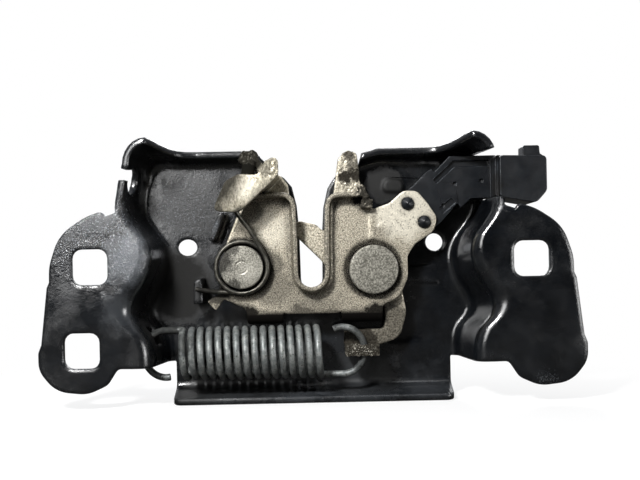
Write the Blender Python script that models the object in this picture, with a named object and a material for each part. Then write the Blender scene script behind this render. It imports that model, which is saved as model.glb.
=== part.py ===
"""Bonnet latch with claw, release pawl, return springs and position switch.

Axes: X across the latch, Y away from the viewer, Z up. The striker slot lies on X = 0, the back faces of the
fixing wings lie on Y = 0 and the two pivots lie near Z = 0. Sizes are given in millimetres and scaled once.
"""

import math

import bmesh
import bpy
from mathutils import Matrix, Vector

MM = 0.001
GAP = 0.3

# sheet levels, measured along Y
SHEET = 2.5
WING_FRONT = -2.5
FLOOR_FRONT = 23.5
TRAY_DEPTH = FLOOR_FRONT - WING_FRONT
DRAFT = math.radians(8.0)
FLOOR_BEND = 3.0
WING_BEND = 5.2
FLANGE_DEPTH = 8.5
LIP_DEPTH = 16.0
LIP_CORNER = 3.2

# plan of the tray: half width of the floor against height, for one side
FLOOR_TOP = 40.0
FLOOR_LOW = -36.0
WING_TOP = 22.5
NECK_LOW = -44.2
FLOOR_SIDE = [
    (-36.0, 54.8), (-29.5, 54.8), (-24.0, 56.2), (-19.5, 59.6), (-15.5, 60.2), (-10.5, 57.6),
    (-5.0, 54.8), (0.5, 53.8), (5.0, 54.2), (11.0, 56.6), (16.0, 60.4), (21.0, 63.6), (26.0, 64.8),
]
CORNER_RADIUS = 6.0
# how far the wall leans out at each height, against its plain draft
WALL_LEAN = [
    (-36.0, 0.90), (-24.0, 1.00), (-18.0, 1.15), (-10.0, 1.55), (0.0, 1.15), (9.0, 0.82), (17.0, 0.78), (22.0, 0.75), (26.0, 0.62),
]

# wing outline: points with corner radii, right side
WING_OUTLINE = [
    (76.4, 22.9, 2), (83.6, 20.4, 20), (93.2, 14.0, 26), (97.0, 2.5, 24), (97.1, -3.4, 0.8), (98.0, -5.4, 1),
    (100.4, -26.4, 1), (101.6, -29.4, 3), (101.6, -36.0, 14), (95.4, -43.9, 14), (83.6, -45.2, 12), (76.4, -42.0, 5),
    (72.4, -35.9, 3), (67.0, -36.0, 0),
]
BOLT_HOLE = 13.2
BOLT_HOLE_RADIUS = 3.4
BOLT_UPPER = (81.6, 2.0)
BOLT_LOWER = (85.5, -29.0)

# striker slot in the base plate
SLOT_HALF = 4.3
SLOT_LOW = -4.2
LOCATING_HOLE = 7.0
LOCATING_LEFT = (-49.4, 9.2)
LOCATING_RIGHT = (49.3, 9.4)
CONDUIT_NOTCH = 10.5
CONDUIT_CENTRE = (6.5, 34.4)

# pivots
CLAW_PIVOT = (23.9, -1.0)
PAWL_PIVOT = (-26.6, 0.8)
RIVET_SHANK = 5.0
BUSH_OUTER = 6.4
CLAW_HEAD = 9.4
PAWL_HEAD = 8.25

# cover plate levels
COVER_FRONT = 11.5
COVER_BACK = 13.3
COVER_RIM_FRONT = 6.5
COVER_SLOT_HALF = 6.9
COVER_SLOT_LOW = -2.2

# moving plates
PLATE_FRONT = 15.1
PLATE_BACK = 20.1

# extension spring
COIL_TURNS = 15.5
COIL_RADIUS = 9.0
COIL_WIRE = 2.7
COIL_PITCH = 3.41
COIL_AXIS_Y = 10.5
COIL_AXIS_Z = -31.9
COIL_LEFT = -49.85
COIL_RIGHT = COIL_LEFT + COIL_TURNS * COIL_PITCH
HOOK_RADIUS = 8.2
HOOK_REACH = 6.7
HOOK_LEAD = 8.5
HOOK_EYE = COIL_RIGHT + HOOK_LEAD + HOOK_RADIUS

# torsion spring
TORSION_WIRE = 1.8
TORSION_RADIUS = PAWL_HEAD + TORSION_WIRE / 2 + 0.7
TORSION_FRONT = 7.6
TORSION_PITCH = 1.95

# position switch
SWITCH_FRONT = 13.7
SWITCH_BACK = 21.0
SHROUD_FRONT = 3.2
SHROUD_BACK = 20.2
SWITCH_TILT = math.radians(41.0)
PEG_ONE = (37.6, 24.1)
PEG_TWO = (43.9, 16.9)
PEG_RADIUS = 2.35


def clear_scene():
    for item in list(bpy.data.objects):
        bpy.data.objects.remove(item, do_unlink=True)


def material(name, colour, metallic, roughness):
    made = bpy.data.materials.new(name)
    made.use_nodes = True
    shader = made.node_tree.nodes["Principled BSDF"]
    shader.inputs["Base Color"].default_value = (colour[0], colour[1], colour[2], 1.0)
    shader.inputs["Metallic"].default_value = metallic
    shader.inputs["Roughness"].default_value = roughness
    made.diffuse_color = (colour[0], colour[1], colour[2], 1.0)
    return made


def add_object(name, bm, finish=None, smooth=False):
    bmesh.ops.remove_doubles(bm, verts=bm.verts, dist=1e-7)
    bmesh.ops.recalc_face_normals(bm, faces=bm.faces)
    bmesh.ops.scale(bm, vec=(MM, MM, MM), verts=bm.verts)
    mesh = bpy.data.meshes.new(name)
    bm.to_mesh(mesh)
    bm.free()
    if smooth:
        mesh.polygons.foreach_set("use_smooth", [True] * len(mesh.polygons))
    item = bpy.data.objects.new(name, mesh)
    bpy.context.scene.collection.objects.link(item)
    if finish is not None:
        mesh.materials.append(finish)
    return item


def smooth_by_angle(item, angle=32.0):
    item.data.polygons.foreach_set("use_smooth", [True] * len(item.data.polygons))
    item.data.set_sharp_from_angle(angle=math.radians(angle))


def set_origin(item, x, y, z):
    """Move an object's origin to a point on its joint axis, leaving its shape in place."""
    spot = Vector((x, y, z)) * MM
    item.data.transform(Matrix.Translation(-spot))
    item.location = spot


def bake(item):
    """Replace the mesh by the result of its modifiers."""
    graph = bpy.context.evaluated_depsgraph_get()
    baked = bpy.data.meshes.new_from_object(item.evaluated_get(graph))
    item.modifiers.clear()
    item.data = baked


def combine(item, tool, operation):
    step = item.modifiers.new("step", "BOOLEAN")
    step.operation = operation
    step.solver = "EXACT"
    step.object = tool
    bake(item)
    bpy.data.objects.remove(tool, do_unlink=True)


def cut(item, tool):
    combine(item, tool, "DIFFERENCE")


def join(item, tool):
    combine(item, tool, "UNION")


def arc(centre, radius, start, end, count):
    """Points on an arc; angles in degrees, end included."""
    points = []
    for i in range(count + 1):
        a = math.radians(start + (end - start) * i / count)
        points.append((centre[0] + radius * math.cos(a), centre[1] + radius * math.sin(a)))
    return points


def rounded(corners, steps=4):
    """Outline through (x, z, radius) corners, each rounded by its radius."""
    points = []
    count = len(corners)
    for i, (x, z, radius) in enumerate(corners):
        here = Vector((x, z))
        if radius == 0:
            points.append((x, z))
            continue
        before = Vector(corners[i - 1][:2]) - here
        after = Vector(corners[(i + 1) % count][:2]) - here
        angle = before.angle(after)
        reach = min(radius / math.tan(angle / 2), before.length * 0.48, after.length * 0.48)
        real = reach * math.tan(angle / 2)
        middle = here + (before.normalized() + after.normalized()).normalized() * real / math.sin(angle / 2)
        first = here + before.normalized() * reach - middle
        turn = first.angle_signed(here + after.normalized() * reach - middle)
        for k in range(steps + 1):
            a = -turn * k / steps
            spun = Matrix.Rotation(a, 2) @ first
            points.append((middle.x + spun.x, middle.y + spun.y))
    return points


def mirrored(points):
    return [(-p[0],) + tuple(p[1:]) for p in reversed(points)]


def prism(name, outline, front, back, finish=None):
    """Closed plate with the given XZ outline between two Y levels."""
    bm = bmesh.new()
    near = [bm.verts.new((x, front, z)) for x, z in outline]
    far = [bm.verts.new((x, back, z)) for x, z in outline]
    bm.faces.new(near)
    bm.faces.new(far[::-1])
    total = len(outline)
    for i in range(total):
        k = (i + 1) % total
        bm.faces.new((near[i], far[i], far[k], near[k]))
    return add_object(name, bm, finish)


def box(name, low, high, finish=None):
    return prism(
        name, [(low[0], low[2]), (high[0], low[2]), (high[0], high[2]), (low[0], high[2])],
        low[1], high[1], finish,
    )


def turned(name, centre, profile, segments, finish=None):
    """Solid of revolution about Y; the profile is a closed loop of (radius, y)."""
    bm = bmesh.new()
    rings = []
    for i in range(segments):
        a = 2 * math.pi * i / segments
        ring = []
        for radius, y in profile:
            if radius == 0:
                spot = (centre[0], y, centre[1])
            else:
                spot = (centre[0] + radius * math.cos(a), y, centre[1] + radius * math.sin(a))
            ring.append(bm.verts.new(spot))
        rings.append(ring)
    for i in range(segments):
        near, far = rings[i], rings[(i + 1) % segments]
        for k in range(len(profile)):
            m = (k + 1) % len(profile)
            if profile[k][0] == 0 and profile[m][0] == 0:
                continue
            if profile[k][0] == 0:
                bm.faces.new((near[k], near[m], far[m]))
            elif profile[m][0] == 0:
                bm.faces.new((near[k], near[m], far[k]))
            else:
                bm.faces.new((near[k], near[m], far[m], far[k]))
    bmesh.ops.remove_doubles(bm, verts=bm.verts, dist=1e-5)
    item = add_object(name, bm, finish)
    smooth_by_angle(item)
    return item


def drum(name, centre, radius, front, back, segments, finish=None):
    return turned(name, centre, [(0, front), (radius, front), (radius, back), (0, back)], segments, finish)


def tube_along(name, path, radius, sides, finish=None):
    """Round wire following a list of points, with flat ends."""
    bm = bmesh.new()
    spots = [Vector(p) for p in path]
    tangent = (spots[1] - spots[0]).normalized()
    side = tangent.orthogonal().normalized()
    rings = []
    for i, spot in enumerate(spots):
        ahead = spots[min(i + 1, len(spots) - 1)] - spots[max(i - 1, 0)]
        fresh = ahead.normalized()
        side = (tangent.rotation_difference(fresh) @ side).normalized()
        side = (side - fresh * side.dot(fresh)).normalized()
        tangent = fresh
        other = tangent.cross(side)
        ring = []
        for k in range(sides):
            a = 2 * math.pi * k / sides
            ring.append(bm.verts.new(spot + (side * math.cos(a) + other * math.sin(a)) * radius))
        rings.append(ring)
    for near, far in zip(rings, rings[1:]):
        for k in range(sides):
            m = (k + 1) % sides
            bm.faces.new((near[k], near[m], far[m], far[k]))
    bm.faces.new(rings[0][::-1])
    bm.faces.new(rings[-1])
    return add_object(name, bm, finish, smooth=True)


def solid_sheet(name, bm, thickness, finish=None):
    """Turn an open sheet, drawn on its viewer side, into a pressing of even thickness."""
    bmesh.ops.remove_doubles(bm, verts=bm.verts, dist=1e-4)
    bmesh.ops.recalc_face_normals(bm, faces=bm.faces)
    bm.normal_update()
    widest = max(bm.faces, key=lambda f: f.calc_area())
    if widest.normal.y > 0:
        bmesh.ops.reverse_faces(bm, faces=bm.faces)
    bmesh.ops.scale(bm, vec=(MM, MM, MM), verts=bm.verts)
    mesh = bpy.data.meshes.new(name)
    bm.to_mesh(mesh)
    bm.free()
    item = bpy.data.objects.new(name, mesh)
    bpy.context.scene.collection.objects.link(item)
    if finish is not None:
        mesh.materials.append(finish)
    thick = item.modifiers.new("thickness", "SOLIDIFY")
    thick.thickness = thickness * MM
    thick.offset = -1.0
    thick.use_even_offset = True
    thick.use_quality_normals = True
    bake(item)
    return item


def smooth_curve(knots, at):
    """Value of a smooth curve through (position, value) knots."""
    for i in range(len(knots) - 1):
        if at <= knots[i + 1][0]:
            break
    before = knots[max(i - 1, 0)]
    a, b = knots[i], knots[i + 1]
    after = knots[min(i + 2, len(knots) - 1)]
    span = b[0] - a[0]
    t = (at - a[0]) / span
    slope_a = (b[1] - before[1]) / max(b[0] - before[0], 1e-6) * span
    slope_b = (after[1] - a[1]) / max(after[0] - a[0], 1e-6) * span
    return (
        (2 * t ** 3 - 3 * t ** 2 + 1) * a[1] + (t ** 3 - 2 * t ** 2 + t) * slope_a
        + (3 * t ** 2 - 2 * t ** 3) * b[1] + (t ** 3 - t ** 2) * slope_b
    )


def tray_path():
    """Right half of the floor edge: (x, z, lean across, lean up, wall height, flare share)."""
    path = []
    steps = 30
    top = FLOOR_SIDE[-1][0]
    for i in range(steps + 1):
        z = FLOOR_LOW + (top - FLOOR_LOW) * i / steps
        flare = 1.0 if z < WING_TOP else 1.0 - (z - WING_TOP) / 9.0
        path.append((smooth_curve(FLOOR_SIDE, z), z, smooth_curve(WALL_LEAN, z), 0.0, TRAY_DEPTH, flare))
    # the wall leans out toward an ear at the corner
    path.append((64.8, 28.2, 0.60, 0.06, TRAY_DEPTH, 0.3))
    path.append((64.4, 30.8, 0.62, 0.28, TRAY_DEPTH, 0.1))
    path.append((63.6, 32.8, 0.65, 0.60, TRAY_DEPTH, 0.0))
    centre = (62.6 - CORNER_RADIUS, FLOOR_TOP - CORNER_RADIUS)
    for i in range(7):
        a = math.radians(90.0 * i / 6)
        x = centre[0] + CORNER_RADIUS * math.cos(a)
        z = centre[1] + CORNER_RADIUS * math.sin(a)
        path.append((x, z, 0.68 - 0.02 * i / 6, 0.92 + 0.24 * math.sin(a), TRAY_DEPTH, 0.0))
    for x, across, up, height in (
        (55.2, 0.62, 1.10, 23.4), (53.8, 0.52, 1.06, 18.6), (52.2, 0.36, 1.02, 13.6), (50.4, 0.16, 1.0, 10.4),
        (47.8, 0.05, 1.0, FLANGE_DEPTH + 0.4), (44.0, 0.0, 1.0, FLANGE_DEPTH), (34.0, 0.0, 1.0, FLANGE_DEPTH),
        (27.0, 0.0, 1.0, FLANGE_DEPTH),
    ):
        path.append((x, FLOOR_TOP, across, up, height, 0.0))
    path.append((16.0, FLOOR_TOP - 3.0, 0.0, 1.0, FLANGE_DEPTH, 0.0))
    path.append((8.0, FLOOR_TOP - 5.0, 0.0, 1.0, FLANGE_DEPTH, 0.0))
    path.append((0.0, FLOOR_TOP - 5.5, 0.0, 1.0, FLANGE_DEPTH, 0.0))
    return path


def wall_section(height, flare):
    """Reach outward and rise of the wall, from the floor line to its free edge."""
    steps = []
    turn = math.pi / 2 - DRAFT
    for k in range(5):
        a = turn * k / 4
        steps.append((FLOOR_BEND * math.sin(a), FLOOR_BEND * (1 - math.cos(a))))
    low = steps[-1]
    plain_rise = (height - low[1]) * 0.4
    bend_rise = WING_BEND * (1 - math.cos(turn))
    straight = height - low[1] - bend_rise * flare - plain_rise * (1 - flare)
    mid = (low[0] + straight * math.tan(DRAFT), low[1] + straight)
    steps.append(mid)
    for k in range(1, 6):
        a = turn * k / 5
        curved_out = WING_BEND * (math.sin(turn) - math.sin(turn - a))
        curved_up = WING_BEND * (math.cos(turn - a) - math.cos(turn))
        plain_up = plain_rise * k / 5
        plain_out = plain_up * math.tan(DRAFT)
        steps.append((
            mid[0] + curved_out * flare + plain_out * (1 - flare),
            mid[1] + curved_up * flare + plain_up * (1 - flare),
        ))
    return steps


def tray_sheet():
    bm = bmesh.new()
    half = tray_path()
    full = half + [(-x, z, -across, up, h, f) for x, z, across, up, h, f in reversed(half[:-1])]
    rows = []
    for x, z, across, up, height, flare in full:
        row = []
        for reach, rise in wall_section(height, flare):
            row.append(bm.verts.new((x + across * reach, FLOOR_FRONT - rise, z + up * reach)))
        rows.append(row)
    for near, far in zip(rows, rows[1:]):
        for k in range(len(near) - 1):
            bm.faces.new((near[k], near[k + 1], far[k + 1], far[k]))
    # floor with the neck, then the bottom lip with rounded front corners
    neck = []
    for x in (-FLOOR_SIDE[0][1], FLOOR_SIDE[0][1]):
        neck.append(bm.verts.new((x, FLOOR_FRONT, NECK_LOW)))
    bm.faces.new([row[0] for row in rows] + [neck[0], neck[1]])
    section = wall_section(LIP_DEPTH, 0.0)
    edge = neck
    for reach, rise in section[1:5]:
        edge = lip_row(bm, edge, FLOOR_FRONT - rise, NECK_LOW - reach)
    low, high = section[4], section[-1]
    length = high[1] - low[1]
    half_width = FLOOR_SIDE[0][1]
    front = []
    for x, t in arc((half_width - LIP_CORNER - 0.9, length - LIP_CORNER), LIP_CORNER, 0, 90, 5):
        front.append((x, t / length))
    corners = front + [(-x, t) for x, t in reversed(front)]
    verts = []
    for x, t in corners:
        reach = low[0] + (high[0] - low[0]) * t
        verts.append(bm.verts.new((x, FLOOR_FRONT - low[1] - length * t, NECK_LOW - reach)))
    bm.faces.new((edge[0], edge[1], *verts))
    # wings
    wing_count = sum(1 for p in half if p[5] == 1.0)
    for side, sign in ((rows, 1), (rows[::-1], -1)):
        inner = [row[-1] for row in side[:wing_count]]
        outer = []
        for x, z in rounded(WING_OUTLINE, 7):
            outer.append(bm.verts.new((sign * x, WING_FRONT, z)))
        bm.faces.new(inner + outer)
    return bm


def lip_row(bm, edge, y, z):
    fresh = [bm.verts.new((v.co.x, y, z)) for v in edge]
    bm.faces.new((edge[0], edge[1], fresh[1], fresh[0]))
    return fresh


def mesa(name, outline, rise, inset, base):
    """Shallow raised pad with sloping sides, standing on the plane Y = base."""
    middle = (sum(p[0] for p in outline) / len(outline), sum(p[1] for p in outline) / len(outline))
    bm = bmesh.new()
    back, near = [], []
    for x, z in outline:
        away = Vector((x - middle[0], z - middle[1]))
        scale = 1.0 - inset / away.length
        back.append(bm.verts.new((x, base + 1.0, z)))
        near.append(bm.verts.new((middle[0] + away.x * scale, base - rise, middle[1] + away.y * scale)))
    foot = [bm.verts.new((x, base, z)) for x, z in outline]
    bm.faces.new(back)
    bm.faces.new(near[::-1])
    for low, high in ((back, foot), (foot, near)):
        for i in range(len(outline)):
            k = (i + 1) % len(outline)
            bm.faces.new((low[i], high[i], high[k], low[k]))
    return add_object(name, bm)


def square_hole(name, centre):
    h = BOLT_HOLE / 2
    x, z = centre
    corners = [(x - h, z - h), (x + h, z - h), (x + h, z + h), (x - h, z + h)]
    outline = rounded([(a, b, BOLT_HOLE_RADIUS) for a, b in corners])
    return prism(name, outline, WING_FRONT - 5, 5)


def base_plate(finish):
    item = solid_sheet("base_plate", tray_sheet(), SHEET, finish)
    cut(item, square_hole("hole", BOLT_UPPER))
    cut(item, square_hole("hole", (-BOLT_UPPER[0] - 0.4, BOLT_UPPER[1])))
    cut(item, square_hole("hole", (-BOLT_LOWER[0], BOLT_LOWER[1])))
    # striker slot, widening to a mouth through the top flange
    low = arc((0, SLOT_LOW), SLOT_HALF, 0, -180, 10)
    left = [(-4.6, 15.0), (-5.4, 25.0), (-7.2, 32.6), (-10.2, 36.2), (-14.0, 38.6), (-19.0, 43.4), (-21.6, 60.0)]
    right = [(20.2, 60.0), (20.2, 43.4), (19.0, 39.6), (9.8, 36.2), (7.0, 31.6), (5.2, 24.0), (4.6, 15.0)]
    cut(item, prism("slot", low + left + right, FLOOR_FRONT - 30, FLOOR_FRONT + 10))
    oval = [(x * 1.1 + LOCATING_LEFT[0], z * 0.94 + LOCATING_LEFT[1]) for x, z in arc((0, 0), 3.5, 0, 345, 23)]
    cut(item, prism("hole", oval, FLOOR_FRONT - 6, FLOOR_FRONT + 10))
    cut(item, drum("hole", LOCATING_RIGHT, LOCATING_HOLE / 2, FLOOR_FRONT - 6, FLOOR_FRONT + 10, 24))
    for pivot in (CLAW_PIVOT, PAWL_PIVOT):
        cut(item, drum("hole", pivot, RIVET_SHANK + GAP, FLOOR_FRONT - 6, FLOOR_FRONT + 10, 24))
    # cable notch through the left wall: round hole with an open throat
    bm = bmesh.new()
    centre_y, centre_z = CONDUIT_CENTRE
    bmesh.ops.create_cone(
        bm, cap_ends=True, segments=24, radius1=CONDUIT_NOTCH / 2, radius2=CONDUIT_NOTCH / 2, depth=24,
        matrix=Matrix.Translation((-68, centre_y, centre_z)) @ Matrix.Rotation(math.pi / 2, 4, "Y"),
    )
    cut(item, add_object("notch", bm))
    cut(item, box("throat", (-80, WING_FRONT - 4, centre_z - 0.4), (-56, centre_y, centre_z + 3.8)))
    # room for the switch connector through the right wall
    cut(item, box("window", (60.0, WING_FRONT - 4, 25.1), (84.0, SWITCH_BACK + 0.6, 43.1)))
    # spring anchor slot through the left wall
    slot_half = COIL_WIRE / 2 + 1.85
    slot_top = COIL_AXIS_Z + COIL_RADIUS + COIL_WIRE / 2 + 0.25
    cut(item, box(
        "anchor", (-76, COIL_AXIS_Y - slot_half, slot_top - 7.4), (-53.0, COIL_AXIS_Y + slot_half, slot_top),
    ))
    # bridge lanced out of the floor for the torsion leg
    tab = prism("tab", [(-45.6, -4.0), (-42.6, -3.0), (-42.2, -12.6), (-45.8, -13.2)], 12.0, FLOOR_FRONT + 1.0)
    join(item, tab)
    fence = prism("tab", [(-35.6, 22.2), (-33.4, 22.2), (-37.6, 11.4), (-39.8, 11.4)], 13.0, FLOOR_FRONT + 1.0)
    join(item, fence)
    # shallow pads pressed toward the viewer
    pad = rounded([(27.6, 29.6, 2.6), (37.6, 28.8, 2.6), (38.6, 34.6, 2.8), (30.0, 35.8, 2.8)])
    join(item, mesa("pad", pad, 0.9, 0.9, FLOOR_FRONT))
    ledge = rounded([(35.0, -6.6, 2), (51.8, -7.6, 2), (51.2, 1.4, 3), (35.0, -0.4, 2)])
    join(item, mesa("pad", ledge, 1.1, 1.6, FLOOR_FRONT))
    step = rounded([(24.0, -42.6, 2), (53.6, -42.6, 2), (53.6, -27.0, 4), (26.0, -28.4, 3)])
    join(item, mesa("pad", step, 1.3, 4.2, FLOOR_FRONT))
    # two pinhole marks over the upper left hole
    for x in (-82.6, -75.8):
        cut(item, drum("mark", (x, 12.8), 0.7, WING_FRONT - 2, WING_FRONT + 0.5, 10))
    smooth_by_angle(item)
    return item


def cover_sheet():
    """Plate with the slot rim turned forward and two feet turned back."""
    bm = bmesh.new()
    rim = []
    half = COVER_SLOT_HALF
    rim += [(-24.0, 27.2, 90), (-15.0, 27.2, 90), (-10.8, 27.2, 90)]
    for k in range(1, 4):
        a = math.radians(90 * k / 3)
        rim.append((-10.8 + 3.4 * math.sin(a), 23.8 + 3.4 * math.cos(a), 90 - 90 * k / 3))
    rim.append((-half - 0.1, 12.0, 0))
    for k in range(11):
        a = 180 + 180 * k / 10
        x = half * math.cos(math.radians(a))
        z = COVER_SLOT_LOW + half * math.sin(math.radians(a))
        rim.append((x, z, a - 180))
    rim.append((half + 0.1, 12.0, 180))
    for k in range(1, 5):
        a = math.radians(90 * (k - 1) / 3)
        rim.append((10.8 - 3.4 * math.cos(a), 23.4 + 3.4 * math.sin(a), 180 - 90 * (k - 1) / 3))
    rim += [(15.0, 26.8, 90), (20.0, 26.8, 90)]
    bend = 1.6
    rows = []
    for x, z, toward in rim:
        out = (math.cos(math.radians(toward)), math.sin(math.radians(toward)))
        row = []
        for k in range(4):
            a = math.pi / 2 * k / 3
            back = bend * (1 - math.sin(a))
            spot = (x - out[0] * back, COVER_FRONT - bend * (1 - math.cos(a)), z - out[1] * back)
            row.append(bm.verts.new(spot))
        row.append(bm.verts.new((x, COVER_RIM_FRONT, z)))
        rows.append(row)
    for near, far in zip(rows, rows[1:]):
        for k in range(len(near) - 1):
            bm.faces.new((near[k], near[k + 1], far[k + 1], far[k]))
    outer = [
        (20.6, 22.2, 0.6), (25.0, 22.6, 3), (30.4, 24.4, 3), (36.0, 29.2, 4), (41.4, 29.0, 4),
        (45.6, 23.8, 0), (49.2, 18.2, 4), (47.4, 13.2, 3), (40.2, 8.4, 4), (37.2, 4.0, 3),
        (37.2, -4.6, 6), (33.6, -12.2, 8), (27.2, -15.0, 2), (27.2, -16.6, 0), (11.4, -16.6, 0),
        (10.2, -17.6, 0.8), (-10.2, -17.6, 0.8), (-11.2, -16.6, 0), (-25.2, -16.6, 0), (-26.6, -14.8, 1),
        (-34.0, -11.4, 0.4), (-37.2, -15.8, 0.5), (-40.6, -12.0, 0.5), (-36.0, -9.4, 0.5), (-33.4, 8.0, 4), (-28.4, 17.4, 3), (-25.0, 25.6, 0),
    ]
    outline = rounded(outer, 3)
    verts = [bm.verts.new((x, COVER_FRONT, z)) for x, z in outline]
    bm.faces.new([row[0] for row in rows] + verts)
    feet = {}
    for v in verts:
        if abs(v.co.z + 16.6) < 1e-4:
            feet.setdefault(v.co.x > 0, []).append(v)
    for pair in feet.values():
        edge = sorted(pair, key=lambda v: v.co.x)
        for k in range(1, 5):
            a = math.radians(80) * k / 4
            drop = (3.0 + COVER_BACK - COVER_FRONT) * math.sin(a)
            deep = COVER_FRONT + 3.8 * (1 - math.cos(a))
            edge = foot_row(bm, edge, deep, -16.6 - drop)
        foot_row(bm, edge, FLOOR_FRONT - GAP - 0.4, -21.5)
    return bm


def foot_row(bm, edge, y, z):
    fresh = [bm.verts.new((v.co.x, y, z)) for v in edge]
    bm.faces.new((edge[0], edge[1], fresh[1], fresh[0]))
    return fresh


def cover_plate(finish):
    item = solid_sheet("cover_plate", cover_sheet(), COVER_BACK - COVER_FRONT, finish)
    for pivot in (CLAW_PIVOT, PAWL_PIVOT):
        cut(item, drum("hole", pivot, RIVET_SHANK + GAP, 5, 20, 24))
    for peg in (PEG_ONE, PEG_TWO):
        cut(item, drum("hole", peg, 1.5 + GAP, 5, 20, 16))
    # pressed relief: raised band by the slot side of the ear
    band = prism("band", rounded([(22.6, 10.0, 0.5), (24.8, 10.0, 0.5), (24.8, 20.8, 0.5), (22.6, 20.8, 0.5)]),
                 COVER_FRONT - 0.22, COVER_FRONT + 0.6)
    join(item, band)
    emboss = arc((28.1, 14.4), 2.7, -25, 165, 10)
    join(item, prism("emboss", emboss, COVER_FRONT - 0.16, COVER_FRONT + 0.6))
    # shallow dished ring round the claw's rivet
    ring = [
        (CLAW_HEAD - 1.0, COVER_FRONT - 1.0), (CLAW_HEAD + 2.4, COVER_FRONT - 1.0), (CLAW_HEAD + 2.4, COVER_FRONT),
        (CLAW_HEAD + 1.0, COVER_FRONT + 0.45), (CLAW_HEAD - 1.0, COVER_FRONT + 0.45),
    ]
    cut(item, turned("ring", CLAW_PIVOT, ring, 40))
    smooth_by_angle(item)
    return item


def claw(finish):
    """Fork: upper jaw, throat, lower jaw across the slot, hub and spring lobe."""
    outline = rounded([
        (14.6, 45.8, 2.2), (11.2, 42.6, 2.0), (8.9, 27.0, 3.0), (9.2, 20.6, 3.4), (6.0, 13.2, 3.0),
        (2.0, 17.0, 2.4), (-5.8, 18.8, 2.0), (-6.8, 13.6, 1.8), (3.6, 3.2, 6), (12.6, -8.0, 5),
        (19.0, -14.6, 4), (28.0, -15.0, 1.4), (28.0, -24.2, 1.4), (12.4, -24.6, 1.0), (12.0, -30.4, 1.0),
        (25.8, -30.4, 1.5), (34.0, -28.0, 6), (36.8, -18.0, 8),
        (34.6, -6.0, 8), (34.6, 9.0, 8), (26.0, 17.0, 6), (20.4, 24.0, 4), (19.4, 36.0, 4), (18.6, 44.6, 2.0),
    ], 4)
    item = prism("claw", outline, PLATE_FRONT, PLATE_BACK, finish)
    shelf_low = -34.0
    join(item, box("shelf", (12.4, 7.6, shelf_low), (25.4, PLATE_FRONT + 1.6, -29.6)))
    join(item, box("shelf", (12.4, PLATE_FRONT, shelf_low), (25.4, PLATE_BACK, -29.6)))
    cut(item, drum("hole", CLAW_PIVOT, BUSH_OUTER + GAP, 10, 30, 28))
    # eye for the spring hook
    cut(item, box(
        "eye", (HOOK_EYE - 2.4, COIL_AXIS_Y - 1.9, shelf_low - 2), (HOOK_EYE + 2.4, COIL_AXIS_Y + 1.9, -28.0),
    ))
    smooth_by_angle(item)
    set_origin(item, CLAW_PIVOT[0], (PLATE_FRONT + PLATE_BACK) / 2, CLAW_PIVOT[1])
    return item


def pawl(finish):
    """Lever: plate on the pivot, web turned forward, leaf with the cable cradle."""
    outline = rounded([
        (-35.2, 0.6, 7), (-32.8, 11.0, 4), (-27.4, 24.0, 3), (-19.0, 36.8, 3), (-11.8, 36.8, 2.5), (-8.4, 32.6, 2.5),
        (-8.2, 27.4, 2.5), (-15.6, 20.0, 3), (-16.8, 8.0, 4), (-14.4, -0.4, 2), (-15.9, -6.4, 3), (-26.0, -8.4, 6),
        (-33.6, -7.4, 6),
    ], 4)
    item = prism("pawl", outline, PLATE_FRONT, PLATE_BACK, finish)
    web = [(-19.8, 31.0), (-17.8, 29.2), (-11.6, 35.6), (-13.4, 37.4)]
    join(item, prism("web", web, -0.6, PLATE_FRONT + 2.0))
    leaf = rounded([
        (-36.6, 22.0, 1.6), (-26.4, 21.2, 5), (-11.4, 34.8, 4), (-11.8, 42.2, 2.8), (-16.6, 40.0, 2.4),
        (-18.4, 35.0, 4), (-26.6, 35.4, 3), (-31.4, 33.0, 4),
    ], 4)
    join(item, prism("leaf", leaf, -2.0, 0.4))
    rear = rounded([
        (-17.2, 31.6, 0.8), (-13.0, 36.2, 0.8), (-17.4, 39.6, 1.2), (-19.2, 41.6, 0.8), (-19.3, 43.4, 0.8),
        (-20.8, 44.9, 0.8), (-25.0, 44.8, 0.8), (-27.1, 41.0, 1.0), (-24.6, 38.9, 1.0), (-20.6, 38.7, 0.8),
    ], 3)
    join(item, prism("horn", rear, 3.6, 6.6))
    cut(item, drum("hole", PAWL_PIVOT, BUSH_OUTER + GAP, 10, 30, 28))
    smooth_by_angle(item)
    set_origin(item, PAWL_PIVOT[0], (PLATE_FRONT + PLATE_BACK) / 2, PAWL_PIVOT[1])
    return item


def pivot_set(label, pivot, head_radius, head_front, rivet_finish, bush_finish):
    """Headed rivet, bush, spacer behind the plate and washer in front of it."""
    head_back = COVER_FRONT - GAP
    chamfer = 0.7
    tail = FLOOR_FRONT + SHEET + GAP
    shank = RIVET_SHANK
    turned(label + "_rivet", pivot, [
        (0, head_front), (head_radius - chamfer, head_front), (head_radius, head_front + chamfer),
        (head_radius, head_back), (shank - GAP, head_back), (shank - GAP, tail), (shank + 2.6, tail),
        (shank + 1.8, tail + 2.2), (0, tail + 2.2),
    ], 28, rivet_finish)
    turned(label + "_bush", pivot, [
        (shank, PLATE_FRONT - 0.2), (BUSH_OUTER, PLATE_FRONT - 0.2),
        (BUSH_OUTER, PLATE_BACK + 0.2), (shank, PLATE_BACK + 0.2),
    ], 28, bush_finish)
    turned(label + "_spacer", pivot, [
        (shank, PLATE_BACK + 0.2 + GAP), (9.0, PLATE_BACK + 0.2 + GAP),
        (9.0, FLOOR_FRONT - GAP), (shank, FLOOR_FRONT - GAP),
    ], 28, rivet_finish)
    turned(label + "_washer", pivot, [
        (shank, COVER_BACK + GAP), (8.6, COVER_BACK + GAP),
        (8.6, PLATE_FRONT - 0.2 - GAP), (shank, PLATE_FRONT - 0.2 - GAP),
    ], 28, bush_finish)


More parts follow.
